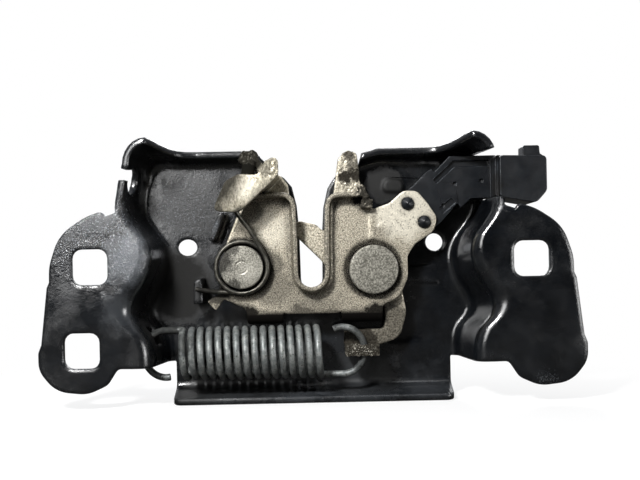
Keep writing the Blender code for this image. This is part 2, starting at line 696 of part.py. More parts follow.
def extension_spring(finish):
    path = []
    y0, z0 = COIL_AXIS_Y, COIL_AXIS_Z
    # left hook: straight through the wall, then round behind the wing
    left_centre = COIL_LEFT - HOOK_REACH
    for k in range(12):
        a = math.radians(-100 + 190 * k / 11)
        path.append((left_centre - (HOOK_RADIUS + 0.2) * math.cos(a), y0, z0 + COIL_RADIUS * math.sin(a)))
    path.append((left_centre + HOOK_REACH / 2, y0, z0 + COIL_RADIUS))
    steps = 14
    for i in range(round(COIL_TURNS * steps) + 1):
        a = 2 * math.pi * i / steps
        x = COIL_LEFT + COIL_PITCH * i / steps
        path.append((x, y0 - COIL_RADIUS * math.sin(a), z0 + COIL_RADIUS * math.cos(a)))
    right_centre = COIL_RIGHT + HOOK_LEAD
    for k in range(1, 13):
        a = math.radians(-90 + 205 * k / 12)
        path.append((right_centre + (HOOK_RADIUS + 0.1) * math.cos(a), y0, z0 + COIL_RADIUS * math.sin(a)))
    return tube_along("claw_spring", path, COIL_WIRE / 2, 8, finish)


def torsion_spring(finish):
    cx, cz = PAWL_PIVOT
    path = [(-29.0, 3.6, 23.4), (-26.0, 6.6, 18.6)]
    start = 28.0
    path.append((cx + 3.4, TORSION_FRONT, cz + TORSION_RADIUS + 4.4))
    turns = 1.37
    count = 28
    for i in range(count + 1):
        a = math.radians(start - 360 * turns * i / count)
        y = TORSION_FRONT + TORSION_PITCH * turns * i / count
        path.append((cx + TORSION_RADIUS * math.cos(a), y, cz + TORSION_RADIUS * math.sin(a)))
    path.append((cx - TORSION_RADIUS - 0.4, TORSION_FRONT + 2.4, cz - TORSION_RADIUS + 0.6))
    path.append((-44.6, TORSION_FRONT + 2.4, -7.2))
    return tube_along("pawl_spring", path, TORSION_WIRE / 2, 6, finish)


def along(origin, tilt, u, v):
    """Point given along a tilted direction u and its left normal v."""
    return (
        origin[0] + u * math.cos(tilt) - v * math.sin(tilt),
        origin[1] + u * math.sin(tilt) + v * math.cos(tilt),
    )


def switch_housing(finish):
    outline = rounded([
        (54.4, 42.4, 1), (73.0, 42.4, 1), (73.0, 25.8, 1), (62.4, 25.8, 0.6), (58.6, 22.2, 0.3),
        (57.2, 24.0, 0.3), (50.6, 16.6, 0.8), (46.6, 13.4, 2.4), (40.6, 14.6, 2.4), (34.4, 22.2, 2.4),
        (35.0, 27.2, 2.4), (40.6, 31.6, 0.5), (45.4, 36.4, 0.4), (47.4, 37.6, 0.4), (48.4, 36.2, 0.3),
    ], 3)
    item = prism("switch_housing", outline, SWITCH_FRONT, SWITCH_BACK, finish)
    # connector shroud with its lock tab and a bevelled collar
    shroud = rounded([(71.6, 41.0, 1.2), (89.3, 40.6, 1.6), (89.3, 27.4, 3), (85.2, 22.8, 3), (71.6, 25.4, 1.4)], 4)
    join(item, prism("shroud", shroud, SHROUD_FRONT, SHROUD_BACK))
    neck = rounded([(70.4, 41.6, 1), (73.4, 41.2, 1), (73.4, 25.6, 1), (70.4, 25.4, 1)], 2)
    join(item, prism("neck", neck, SHROUD_FRONT + 3, SWITCH_FRONT + 3))
    lock = rounded([
        (81.6, 40.0, 0.4), (81.6, 45.2, 0.8), (88.0, 45.2, 0.8), (88.2, 42.0, 0.6), (89.2, 41.4, 0.3), (89.2, 40.0, 0.3),
    ], 3)
    join(item, prism("lock", lock, 8.4, 15.6))
    cut(item, box("mouth", (77.0, SHROUD_FRONT + 2.0, 26.2), (96.0, SHROUD_BACK - 2.0, 38.4)))
    # recessed channel under the top rail
    channel = [(47.8, 33.4), (55.6, 40.4), (69.6, 40.4), (69.6, 38.2), (56.4, 38.2), (49.4, 31.8)]
    cut(item, prism("channel", channel, SWITCH_FRONT - 2, SWITCH_FRONT + 1.2))
    corner = [(51.6, 20.0), (56.4, 24.2), (54.8, 26.2), (50.0, 22.0)]
    cut(item, prism("channel", corner, SWITCH_FRONT - 2, SWITCH_FRONT + 0.8))
    for spot in ((56.2, 31.6), (66.6, 32.6), (51.4, 35.0), (51.8, 23.2)):
        cut(item, drum("dimple", spot, 0.75, SWITCH_FRONT - 2, SWITCH_FRONT + 0.9, 12))
    # pegs through the ear, upset to cones
    for peg in (PEG_ONE, PEG_TWO):
        stake = turned("peg", peg, [
            (0, COVER_FRONT - 2.0), (0.7, COVER_FRONT - 1.9), (PEG_RADIUS, COVER_FRONT - 0.9),
            (PEG_RADIUS, COVER_FRONT - GAP), (1.5, COVER_FRONT - GAP), (1.5, SWITCH_FRONT + 2.4),
            (0, SWITCH_FRONT + 2.4),
        ], 16)
        join(item, stake)
    works = [along((46.6, 26.2), SWITCH_TILT, u, v) for u, v in ((-1.0, -4.4), (13.0, -4.4), (13.0, 4.4), (-1.0, 4.4))]
    cut(item, prism("works", works, SWITCH_FRONT + 1.8, SWITCH_BACK + 2))
    bore = [along((46.6, 26.2), SWITCH_TILT, u, v) for u, v in ((-14.0, -1.9), (0, -1.9), (0, 1.9), (-14.0, 1.9))]
    cut(item, prism("bore", bore, SWITCH_FRONT + 2.1, SWITCH_FRONT + 5.9))
    cut(item, box("passage", (55.0, 15.5, 29.4), (79.0, 17.9, 34.6)))
    smooth_by_angle(item)
    return item


def switch_works(dark, light, steel, copper, rubber):
    origin = (46.6, 26.2)
    back = SWITCH_BACK - 1.0
    near, far = SWITCH_FRONT + 2.5, SWITCH_FRONT + 5.5
    lid = [along(origin, SWITCH_TILT, u, v) for u, v in ((-0.7, -4.1), (12.7, -4.1), (12.7, 4.1), (-0.7, 4.1))]
    prism("switch_lid", lid, back, SWITCH_BACK - 0.1, dark)
    stem = [
        (-19.4, -1.0), (-18.6, -1.5), (0.4, -1.5), (0.4, -3.4), (2.0, -3.4),
        (2.0, 3.4), (0.4, 3.4), (0.4, 1.5), (-18.6, 1.5), (-19.4, 1.0),
    ]
    points = [along(origin, SWITCH_TILT, u, v) for u, v in stem]
    plunger = prism("switch_plunger", points, near, far, light)
    set_origin(plunger, origin[0], (near + far) / 2, origin[1])
    blade = [(2.4, -3.6), (3.0, -3.6), (3.0, 3.6), (2.4, 3.6)]
    points = [along(origin, SWITCH_TILT, u, v) for u, v in blade]
    contact = prism("contact_blade", points, near, far, copper)
    set_origin(contact, origin[0], (near + far) / 2, origin[1])
    path = []
    for i in range(5 * 10 + 1):
        a = 2 * math.pi * i / 10
        x, z = along(origin, SWITCH_TILT, 3.8 + 7.6 * i / 50, 1.5 * math.cos(a))
        path.append((x, SWITCH_FRONT + 4.0 + 1.5 * math.sin(a), z))
    tube_along("plunger_spring", path, 0.22, 5, steel)
    for name, z in (("terminal_upper", 33.4), ("terminal_lower", 30.6)):
        box(name, (57.4, 15.9, z - 0.6), (85.0, 17.5, z + 0.6), copper)
    ring = [along(origin, SWITCH_TILT, u, v) for u, v in ((-13.8, -2.6), (-12.6, -2.6), (-12.6, 2.6), (-13.8, 2.6))]
    seal = prism("plunger_seal", ring, near - 1.0, far + 1.0, rubber)
    hole = [along(origin, SWITCH_TILT, u, v) for u, v in ((-16, -1.8), (-10, -1.8), (-10, 1.8), (-16, 1.8))]
    cut(seal, prism("hole", hole, near - 0.3, far + 0.3))


def main():
    clear_scene()
    black = material("black_paint", (0.012, 0.013, 0.015), 0.0, 0.32)
    zinc = material("zinc_plating", (0.60, 0.57, 0.50), 1.0, 0.38)
    hard = material("plated_lever", (0.56, 0.54, 0.49), 1.0, 0.42)
    rivet = material("rivet_steel", (0.42, 0.42, 0.41), 1.0, 0.45)
    bronze = material("sleeve_bronze", (0.55, 0.38, 0.20), 1.0, 0.40)
    galvanised = material("galvanised_wire", (0.40, 0.41, 0.41), 1.0, 0.50)
    spring_steel = material("spring_steel", (0.20, 0.20, 0.20), 1.0, 0.40)
    plastic = material("black_plastic", (0.018, 0.019, 0.022), 0.0, 0.55)
    lid = material("lid_plastic", (0.025, 0.026, 0.028), 0.0, 0.60)
    nylon = material("plunger_nylon", (0.70, 0.68, 0.62), 0.0, 0.45)
    copper = material("tinned_copper", (0.72, 0.60, 0.45), 1.0, 0.30)
    base_plate(black)
    cover_plate(zinc)
    claw(hard)
    pawl(hard)
    pivot_set("claw", CLAW_PIVOT, CLAW_HEAD, 8.0, rivet, bronze)
    pivot_set("pawl", PAWL_PIVOT, PAWL_HEAD, 5.5, rivet, bronze)
    extension_spring(galvanised)
    torsion_spring(spring_steel)
    switch_housing(plastic)
    gaiter = material("gaiter_rubber", (0.02, 0.02, 0.02), 0.0, 0.75)
    switch_works(lid, nylon, spring_steel, copper, gaiter)


main()
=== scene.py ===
"""Studio picture of a bonnet latch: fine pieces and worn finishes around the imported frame."""

import logging
import math
from contextlib import contextmanager
from dataclasses import dataclass
from enum import Enum
from typing import Any, Dict, Iterator, List, Optional, Sequence, Tuple

import bpy
from mathutils import Matrix, Vector

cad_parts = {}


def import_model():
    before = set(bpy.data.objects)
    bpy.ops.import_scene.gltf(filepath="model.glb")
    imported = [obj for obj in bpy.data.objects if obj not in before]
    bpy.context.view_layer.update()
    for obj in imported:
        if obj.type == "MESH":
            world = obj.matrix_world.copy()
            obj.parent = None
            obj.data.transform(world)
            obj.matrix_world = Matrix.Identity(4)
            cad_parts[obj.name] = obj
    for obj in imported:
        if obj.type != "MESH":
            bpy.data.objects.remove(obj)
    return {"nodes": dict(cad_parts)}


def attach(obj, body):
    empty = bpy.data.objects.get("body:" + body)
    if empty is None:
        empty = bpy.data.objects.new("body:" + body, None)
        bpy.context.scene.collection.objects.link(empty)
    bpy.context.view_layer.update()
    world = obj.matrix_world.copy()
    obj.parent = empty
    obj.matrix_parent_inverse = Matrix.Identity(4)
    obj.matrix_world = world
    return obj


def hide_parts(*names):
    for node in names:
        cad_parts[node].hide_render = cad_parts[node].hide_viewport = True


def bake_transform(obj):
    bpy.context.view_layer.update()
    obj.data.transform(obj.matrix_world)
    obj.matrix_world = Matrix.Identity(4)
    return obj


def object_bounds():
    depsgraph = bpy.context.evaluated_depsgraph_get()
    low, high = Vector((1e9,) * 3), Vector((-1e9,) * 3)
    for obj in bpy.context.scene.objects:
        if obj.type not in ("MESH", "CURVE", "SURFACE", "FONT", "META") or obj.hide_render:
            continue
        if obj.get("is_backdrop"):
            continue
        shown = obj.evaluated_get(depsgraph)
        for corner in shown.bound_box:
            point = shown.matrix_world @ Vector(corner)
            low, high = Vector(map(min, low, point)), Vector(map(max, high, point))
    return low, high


LOG = logging.getLogger("latch")
MM = 0.001
# points closer than this are one, in metres
WELD = 2e-6
# points between the quarters of a wire's outline
WIRE_STEPS = 4
Point = Tuple[float, float, float]
Span = Tuple[float, float]
Object = bpy.types.Object
Tree = bpy.types.NodeTree
Node = bpy.types.Node
Socket = bpy.types.NodeSocket


class Body(Enum):
    """Rigid bodies of the frame that pieces ride on."""

    FRAME = "frame"
    CLAW = "claw"
    PAWL = "pawl"


class Axis(Enum):
    """Axis of object space that a band of painted shade is measured along."""

    DEPTH = "Y"
    HEIGHT = "Z"


def linear(hex_colour: str) -> Tuple[float, float, float, float]:
    """Turn an sRGB hex value into linear light.

    Args:
        hex_colour: Six hex digits, with or without a leading hash.

    Returns:
        Linear red, green, blue and an alpha of 1.
    """
    digits = hex_colour.lstrip("#")
    values = [int(digits[i:i + 2], 16) / 255.0 for i in (0, 2, 4)]
    bent = [v / 12.92 if v <= 0.04045 else ((v + 0.055) / 1.055) ** 2.4 for v in values]
    return (bent[0], bent[1], bent[2], 1.0)


@dataclass
class Nodes:
    """A node tree in the making."""

    tree: Tree

    def add(self, kind: str, inputs: Optional[Dict[Any, Any]] = None, **settings: Any) -> Node:
        """Add one node with its settings, values and incoming links.

        Args:
            kind: Blender's node type name.
            inputs: Input names or indices, each with a value or with the output socket that feeds it.
            **settings: Attributes of the node.

        Returns:
            The new node.
        """
        made = self.tree.nodes.new(kind)
        for name, value in settings.items():
            setattr(made, name, value)
        for key, value in (inputs or {}).items():
            if isinstance(value, Socket):
                self.tree.links.new(value, made.inputs[key])
            else:
                made.inputs[key].default_value = value
        return made

    def combine(self, operation: str, *values: Any) -> Socket:
        """Work out a sum on numbers or sockets.

        Args:
            operation: Blender's name of the operation.
            *values: What it works on, in order.

        Returns:
            The result.
        """
        return self.add("ShaderNodeMath", dict(enumerate(values)), operation=operation).outputs[0]

    def ramp(self, value: Socket, levels: Span, ends: Span = (0.0, 1.0), kind: str = "LINEAR") -> Socket:
        """Turn a value between two levels into one between two ends, held beyond them.

        Args:
            value: The value.
            levels: Where the ramp begins and where it is complete.
            ends: The results there.
            kind: Blender's name of the interpolation.

        Returns:
            The result.
        """
        return self.add("ShaderNodeMapRange", {
            "Value": value, "From Min": levels[0], "From Max": levels[1], "To Min": ends[0], "To Max": ends[1],
        }, interpolation_type=kind).outputs["Result"]

    def mix(self, under: Any, share: Socket, over: str) -> Socket:
        """Lay a colour over another.

        Args:
            under: Colour below, as a socket or in linear light.
            share: Share of the colour on top.
            over: Colour on top, as an sRGB hex value.

        Returns:
            The colour seen from above.
        """
        return self.add("ShaderNodeMix", {0: share, 6: under, 7: linear(over)}, data_type="RGBA").outputs[2]


@dataclass(frozen=True)
class Patch:
    """A cloudy patch on a surface, placed in object space in millimetres.

    Its strength is the share in its middle. Ragged tells how far the outline frays, as a share of the radius.
    """

    x: float
    y: float
    z: float
    radius: float
    strength: float
    ragged: float = 0.8


def spots(*rows: Sequence[float]) -> Tuple[Patch, ...]:
    """Make patches.

    Args:
        *rows: The values of each.

    Returns:
        The patches.
    """
    return tuple(Patch(*row) for row in rows)


@dataclass(frozen=True)
class Blobs:
    """Blobs of one colour, with their width in millimetres and the share that they cover."""

    colour: str
    width: float
    share: float


@dataclass(frozen=True)
class ShadeBand:
    """Painted shade that sets in between two places on one axis, in millimetres.

    It covers share at full. The metal shows through where the crumb noise is below fray.
    """

    axis: Axis
    start: float
    full: float
    share: float
    fray: float = 0.52


@dataclass(frozen=True)
class Finish:
    """A worn surface built from a base coat, a mottle, soiling and painted shade in corners, and rubbed edges.

    Sizes are in millimetres on the object, colours are sRGB hex values, and a share is how much shows at most.
    bare is the colour of rubbed edges, where on black paint and nylon it is also a painted edge highlight, of
    the pale patches, which are dust and painted light, and of the sparkle flecks, painted glints among grit;
    rough is the range of the clean roughness, grain the width and depth of the relief. grime, the colour of
    soiling and also of painted shade, gathers where openness within soot_and_shade_mm falls through hollow, and
    fills what is less open than seam. round_mm rounds drawn edges.
    """

    name: str
    slot: str
    base: str
    mottle: Blobs
    grime_and_shade: str
    bare_and_highlight: str
    wear_share: float
    rough: Span
    grain: Span
    grime_and_shade_share: float = 1.0
    metallic: float = 0.45
    speck: Blobs = Blobs("#000000", 0.6, 0.0)
    wave_mm: float = 14.0
    wave_depth: float = 0.0
    specular: float = 0.5
    stretch: Point = (1.0, 1.0, 1.0)
    edge_mm: float = 0.7
    soot_and_shade_mm: float = 3.0
    hollow: Span = (0.80, 0.25)
    seam: float = 0.45
    round_mm: float = 0.0
    layers: Tuple[ShadeBand, ...] = ()
    patches: Tuple[Patch, ...] = ()
    pale: Tuple[Patch, ...] = ()
    sparkle: Tuple[Patch, ...] = ()

    def material(self) -> bpy.types.Material:
        """Build the node material of this finish.

        Returns:
            The material, made once per finish.
        """
        made = bpy.data.materials.get(self.name)
        if made is None:
            made = bpy.data.materials.new(self.name)
            made.use_nodes = True
            Coats(made.node_tree, self).lay(made.node_tree.nodes["Principled BSDF"])
        return made


@dataclass
class Coats(Nodes):
    """The coats of one finish, laid one over the other in its node tree."""

    finish: Finish
    # widths of the noises that all finishes share
    CLOUD_MM, CRUMB_MM, CHIP_MM, FLECK_MM, PIT_MM = 3.6, 1.4, 2.2, 0.55, 0.8
    # levels of a noise between which a mask runs from nothing to full
    BLOBS = (0.42, 0.62)
    SPECKS = (0.60, 0.68)
    CHIPS = (0.40, 0.58)
    CLOUDS = (0.36, 0.60)
    FLECKS = (0.56, 0.66)
    GLOSS = (0.35, 0.65)
    CRUMB_RUN = 0.22
    # agreement of the rounded and the true normal where an edge begins and is full
    EDGE = (0.985, 0.80)
    SEAM_RUN = 0.15
    # gloss blobs are this much wider than the mottle
    GLOSS_WIDTH = 1.7
    # patches up to this radius are frayed by crumbs, larger ones by clouds
    SMALL_PATCH = 5.0
    # shares of the radius where a patch ends, and where a strong or a weak one is full
    PATCH_END, FULL_STRONG, FULL_WEAK = 1.15, 0.75, 0.35
    STRONG = 0.5
    # roughness where the soiling and painted shade are solid, and the share of the specular level kept there
    DIRT_ROUGH, DIRT_SHEEN = 0.82, 0.12
    PIT_DEPTH = 0.35

    def __post_init__(self) -> None:
        """Lay out the places and noises that the coats share."""
        self.place = self.add("ShaderNodeTexCoord").outputs["Object"]
        spread = self.add("ShaderNodeMapping", {"Vector": self.place, "Scale": self.finish.stretch})
        self.spread = spread.outputs["Vector"]
        self.cloud = self.noise(self.CLOUD_MM, detail=6.0, rough=0.65)
        self.crumb = self.noise(self.CRUMB_MM, detail=5.0, rough=0.7)

    def noise(self, width_mm: float, detail: float, rough: float) -> Socket:
        """Make a noise pattern.

        Args:
            width_mm: Width of its blobs.
            detail: Number of finer patterns in it.
            rough: How strong the finer ones are.

        Returns:
            Its value.
        """
        return self.add("ShaderNodeTexNoise", {
            "Vector": self.spread, "Scale": 1.0 / (width_mm * MM), "Detail": detail, "Roughness": rough,
        }).outputs["Fac"]

    def most(self, *masks: Socket) -> Socket:
        """Take the strongest of several masks at each point.

        Args:
            *masks: The masks, at least one.

        Returns:
            The combined mask.
        """
        best = masks[0]
        for mask in masks[1:]:
            best = self.combine("MAXIMUM", best, mask)
        return best

    def spot(self, patch: Patch) -> Socket:
        """Mask a patch with its ragged outline.

        Args:
            patch: The patch.

        Returns:
            The mask, up to the patch's strength.
        """
        reach = patch.radius * MM
        middle = (patch.x * MM, patch.y * MM, patch.z * MM)
        away = self.add("ShaderNodeVectorMath", {0: self.place, 1: middle}, operation="DISTANCE")
        ragged = self.cloud if patch.radius > self.SMALL_PATCH else self.crumb
        fray = self.combine("MULTIPLY_ADD", ragged, -reach * 2.0 * patch.ragged, reach * patch.ragged)
        edged = self.combine("ADD", away.outputs["Value"], fray)
        full = self.FULL_STRONG if patch.strength >= self.STRONG else self.FULL_WEAK
        return self.ramp(edged, (reach * self.PATCH_END, reach * full), (0.0, patch.strength))

    def paint(self) -> Socket:
        """Lay the base coat with its mottle, pale patches of dust and painted light, and specks.

        Returns:
            Colour of the unworn surface.
        """
        finish = self.finish
        blobs = self.noise(finish.mottle.width, detail=4.0, rough=0.6)
        mottled = self.ramp(blobs, self.BLOBS, (0.0, finish.mottle.share))
        colour = self.mix(linear(finish.base), mottled, finish.mottle.colour)
        # the pale patches in the bare colour are dust, painted highlights and painted pools of light
        for patch in finish.pale:
            colour = self.mix(colour, self.spot(patch), finish.bare_and_highlight)
        if finish.speck.share > 0:
            dots = self.noise(finish.speck.width, detail=2.0, rough=0.5)
            specks = self.ramp(dots, self.SPECKS, (0.0, finish.speck.share))
            colour = self.mix(colour, specks, finish.speck.colour)
        return colour

    def wear(self) -> Socket:
        """Find the edges, where a rounded normal leaves the true one, and chip them.

        Returns:
            Mask of the rubbed edges.
        """
        rounded = self.add("ShaderNodeBevel", {"Radius": self.finish.edge_mm * MM}, samples=4)
        true = self.add("ShaderNodeNewGeometry")
        level = self.add("ShaderNodeVectorMath", {
            0: rounded.outputs["Normal"], 1: true.outputs["Normal"],
        }, operation="DOT_PRODUCT")
        edge = self.ramp(level.outputs["Value"], self.EDGE)
        chipped = self.noise(self.CHIP_MM, detail=5.0, rough=0.7)
        chips = self.ramp(chipped, self.CHIPS, (0.0, self.finish.wear_share))
        return self.combine("MULTIPLY", edge, chips)

    def dirt_and_shade(self) -> Socket:
        """Gather soiling and painted shade where little light gets in, along the bands and in the patches.

        Returns:
            Mask of the soiling and painted shade.
        """
        finish = self.finish
        most_dirt_and_shade = (0.0, finish.grime_and_shade_share)
        occlusion = self.add("ShaderNodeAmbientOcclusion", {"Distance": finish.soot_and_shade_mm * MM}, samples=6)
        light = occlusion.outputs["AO"]
        clouds = self.ramp(self.cloud, self.CLOUDS, most_dirt_and_shade)
        # the occlusion node darkens hollows and tight creases with soiling and painted shade
        masks = [
            self.combine("MULTIPLY", self.ramp(light, finish.hollow), clouds),
            self.ramp(light, (finish.seam, finish.seam - self.SEAM_RUN), most_dirt_and_shade),
        ]
        # each band is painted shade along one axis
        for shade_band in finish.layers:
            axes = self.add("ShaderNodeSeparateXYZ", {0: self.place})
            reach = (shade_band.start * MM, shade_band.full * MM)
            laid = self.ramp(axes.outputs[shade_band.axis.value], reach, (0.0, shade_band.share))
            crumbs = self.ramp(self.crumb, (shade_band.fray - self.CRUMB_RUN, shade_band.fray))
            masks.append(self.combine("MULTIPLY", laid, crumbs))
        # the patches add soiling, painted shadows and painted shade
        return self.most(*masks, *(self.spot(patch) for patch in finish.patches))

    def gleam(self, shader: Node, wear: Socket, dirt_and_shade: Socket) -> None:
        """Set metal share, roughness and specular level, all duller under the soiling and painted shade.

        Args:
            shader: The material's shader.
            wear: Mask of the rubbed edges.
            dirt_and_shade: Mask of the soiling and painted shade.
        """
        finish = self.finish
        metal = self.ramp(dirt_and_shade, (0.0, 1.0), (finish.metallic, 0.0)) if finish.metallic > 0 else wear
        self.tree.links.new(metal, shader.inputs["Metallic"])
        blobs = self.noise(finish.mottle.width * self.GLOSS_WIDTH, detail=5.0, rough=0.6)
        gloss = self.ramp(blobs, self.GLOSS, finish.rough)
        dull = self.combine("MULTIPLY", dirt_and_shade, self.DIRT_ROUGH)
        self.tree.links.new(self.most(gloss, dull), shader.inputs["Roughness"])
        # the export drops this link and keeps the clean level
        shader.inputs["Specular IOR Level"].default_value = finish.specular
        sheen = self.ramp(dirt_and_shade, (0.0, 1.0), (finish.specular, finish.specular * self.DIRT_SHEEN))
        self.tree.links.new(sheen, shader.inputs["Specular IOR Level"])

    def relief(self, glints: Optional[Socket]) -> Socket:
        """Shape the normal by drawn edges, grain, slow waves and pits among the glints.

        Args:
            glints: Mask of the sparkling patches, or None.

        Returns:
            The normal.
        """
        finish = self.finish
        under: Dict[str, Socket] = {}
        if finish.round_mm > 0:
            drawn = self.add("ShaderNodeBevel", {"Radius": finish.round_mm * MM}, samples=8)
            under["Normal"] = drawn.outputs["Normal"]
        bumps = [(self.noise(finish.grain[0], detail=3.0, rough=0.6), finish.grain[1])]
        if finish.wave_depth > 0:
            bumps.append((self.noise(finish.wave_mm, detail=1.0, rough=0.4), finish.wave_depth))
        if glints is not None:
            pits = self.noise(self.PIT_MM, detail=4.0, rough=0.7)
            bumps.append((self.combine("MULTIPLY", pits, glints), self.PIT_DEPTH))
        for height, depth in bumps:
            bump = self.add("ShaderNodeBump", {
                "Strength": 1.0, "Distance": depth * MM, "Height": height, **under,
            })
            under["Normal"] = bump.outputs["Normal"]
        return under["Normal"]

    def lay(self, shader: Node) -> None:
        """Lay all the coats and link them to the shader.

        Args:
            shader: The material's shader.
        """
        finish = self.finish
        wear, dirt_and_shade = self.wear(), self.dirt_and_shade()
        # rubbed edges take the bare colour, on black paint and nylon also a painted edge highlight, then the
        # grime colour covers soiling and painted shade
        colour = self.mix(self.mix(self.paint(), wear, finish.bare_and_highlight), dirt_and_shade, finish.grime_and_shade)
        glints = None
        # bright flecks of the bare colour in the sparkle patches are painted glints among grit and dust specks
        if finish.sparkle:
            glints = self.most(*(self.spot(patch) for patch in finish.sparkle))
            bright = self.ramp(self.noise(self.FLECK_MM, detail=3.0, rough=0.6), self.FLECKS)
            colour = self.mix(colour, self.combine("MULTIPLY", bright, glints), finish.bare_and_highlight)
        self.tree.links.new(colour, shader.inputs["Base Color"])
        self.gleam(shader, wear, dirt_and_shade)
        self.tree.links.new(self.relief(glints), shader.inputs["Normal"])


# dip-painted pressed steel: blue-black gloss with dust, an uneven film and bright rubbed bends;
# its bluish bare colour is also a painted edge highlight
BLACK_PAINT = Finish(
    "dip_painted_steel", "black_paint", base="#0b0d10", mottle=Blobs("#14171b", 7.0, 0.6),
    grime_and_shade="#100f0c", grime_and_shade_share=0.4, bare_and_highlight="#8d9298", wear_share=0.35, metallic=0.0, rough=(0.12, 0.28),
    grain=(1.1, 0.035), speck=Blobs("#3a3a3a", 0.6, 0.2), specular=0.8, wave_mm=18.0, wave_depth=0.30,
    edge_mm=0.6, soot_and_shade_mm=6.0, round_mm=1.9,
    patches=spots(
        # (-54, 23, -6) is a painted shadow by the left wall, (29.5, 22, 32.7) painted shade over the dimple
        (-62, 10, -27, 9, 0.55), (-54, 23, -6, 16, 0.8, 0.25), (-48, 23, 26, 20, 0.48, 0.6),
        (-45, 12, -44, 14, 0.6, 0.5), (-68, 6, 30, 4, 0.3), (-20, 22, 42, 6, 0.4), (-36.4, 13, 17, 5.5, 0.6),
        (-25, 24, -45, 22, 0.5), (20, 24, -44, 16, 0.5), (-64, 10, -26, 10, 0.6),
        (29.5, 22, 32.7, 8, 0.7, 0.5),
    ),
    pale=spots(
        # the four at y -2 on the left wing are painted reflections that read as dust, (12, 24, -40) painted
        # light on the lower floor, and the four at z -49 painted highlights along the lip
        (-36.8, 13, 16.5, 3.6, 0.35), (-37, 20, -9, 2.5, 0.3), (-69, -2, 4, 10, 0.36, 0.5),
        (-63, -2, 12, 7, 0.2), (-71, -2, -15, 9, 0.12), (-80, -2, 24, 12, 0.12), (12, 24, -40, 16, 0.08),
        (-34, 14, -49, 15, 0.17), (-8, 14, -49, 15, 0.18), (18, 14, -49, 15, 0.14), (44, 14, -49, 13, 0.10),
    ),
    sparkle=spots(
        # the two at x -79 and -70 are painted glints among dust specks on the left wing
        (-79, -2.5, 13, 17, 0.75), (-70, -2.5, 6, 9, 0.60), (-50, 23.5, 27, 20, 0.32),
        (86, -2.5, -44, 6, 0.30), (70, -2.5, 25, 5, 0.4), (-64, 10, -24, 5, 0.4), (-37, 13, 15, 4, 0.7),
    ),
)
# zinc-plated pressed steel: warm grey crystal grain with pale and dark flecks
ZINC_PLATE = Finish(
    "zinc_plated_steel", "zinc_plating", base="#7b7466", mottle=Blobs("#d6ceba", 0.5, 0.95),
    grime_and_shade="#0e0c0a", bare_and_highlight="#f0ead9", wear_share=0.85, rough=(0.38, 0.58),
    grain=(0.6, 0.06), speck=Blobs("#2c261d", 0.7, 0.6), wave_depth=0.12, edge_mm=0.45, soot_and_shade_mm=4.5,
    hollow=(0.95, 0.60), seam=0.85,
    # the bands are painted shade, darker over the raised rim's front and over the bent feet
    layers=(ShadeBand(Axis.DEPTH, 10.6, 8.5, 0.5), ShadeBand(Axis.HEIGHT, -15.4, -17.8, 1.0, 0.30)),
    patches=spots(
        # the patches at z -17 to -21, with the wide one at (0, 11.5, -17), are painted shade on the bent feet
        # and the lower middle; (-16, 11.5, -3), (-15, 11.5, -7) and (-15.2, 11.5, 1.5) are a painted shadow
        # beside the pawl rivet and spring, and (-23.4, 11.5, 22.5) the leaf's painted shadow
        (-36, 12, -9.5, 5, 0.85), (-20, 14, -21, 6, 0.5), (19, 15, -21, 7, 0.55), (20.5, 10, 25.5, 3.2, 0.6),
        (-16, 11.5, -3, 5, 0.45), (-30, 11.5, 10, 3.5, 0.4), (28, 11.5, 13, 4, 0.2),
        (0, 11.5, -17, 17, 0.42, 0.4), (-15, 11.5, -7, 8, 0.5, 0.5), (-25.5, 13, -20, 7, 0.97, 0.6),
        (-31, 13, -17, 6, 0.8, 0.5), (25.5, 13, -20, 7, 0.97, 0.6), (-23.4, 11.5, 22.5, 5.6, 0.6, 0.4),
        (-15.2, 11.5, 1.5, 5.2, 0.6, 0.4), (-4, 12, -20.5, 7, 0.75, 0.5), (7, 12, -20.5, 6, 0.75, 0.5),
        (28, 13, -18, 6, 0.6, 0.6), (20.5, 9, 27, 5, 0.9, 1), (34, 11.5, -6, 5, 0.35, 0.5),
    ),
    # a painted pool of light on the right ear, and painted light over the upper left
    pale=spots((36, 11.5, 21, 11, 0.6, 0.5), (-15, 11.5, 15, 8, 0.3, 0.6)),
)
# hardened and plated claw steel: brighter cream grain, chipped edges, caked tip and hook
CLAW_PLATE = Finish(
    "plated_claw_steel", "plated_lever", base="#857e6f", mottle=Blobs("#ded6c2", 0.6, 0.95),
    grime_and_shade="#17130d", bare_and_highlight="#f4efdf", wear_share=0.85, rough=(0.36, 0.56),
    grain=(0.7, 0.11), speck=Blobs("#26221b", 0.8, 0.75), wave_depth=0.2, edge_mm=0.6, soot_and_shade_mm=3.4,
    hollow=(0.90, 0.45), seam=0.72,
    patches=spots(
        (14.2, 15, 35.2, 3, 0.95, 1.2), (18, 15, 35.8, 3, 0.95, 1.2), (16, 15, 36.5, 2.6, 0.8, 1),
        (15.6, 16, 43.6, 2.6, 0.8, 1.2), (17.2, 16, 40, 2.4, 0.7, 1.2), (16, 12, -31, 13, 0.93, 0.3),
        (30, 16, -24, 11, 0.72, 0.5), (-6, 15, 17, 2, 0.5),
    ),
    sparkle=spots((18, 9, -34, 6, 0.6, 0.3)),
)
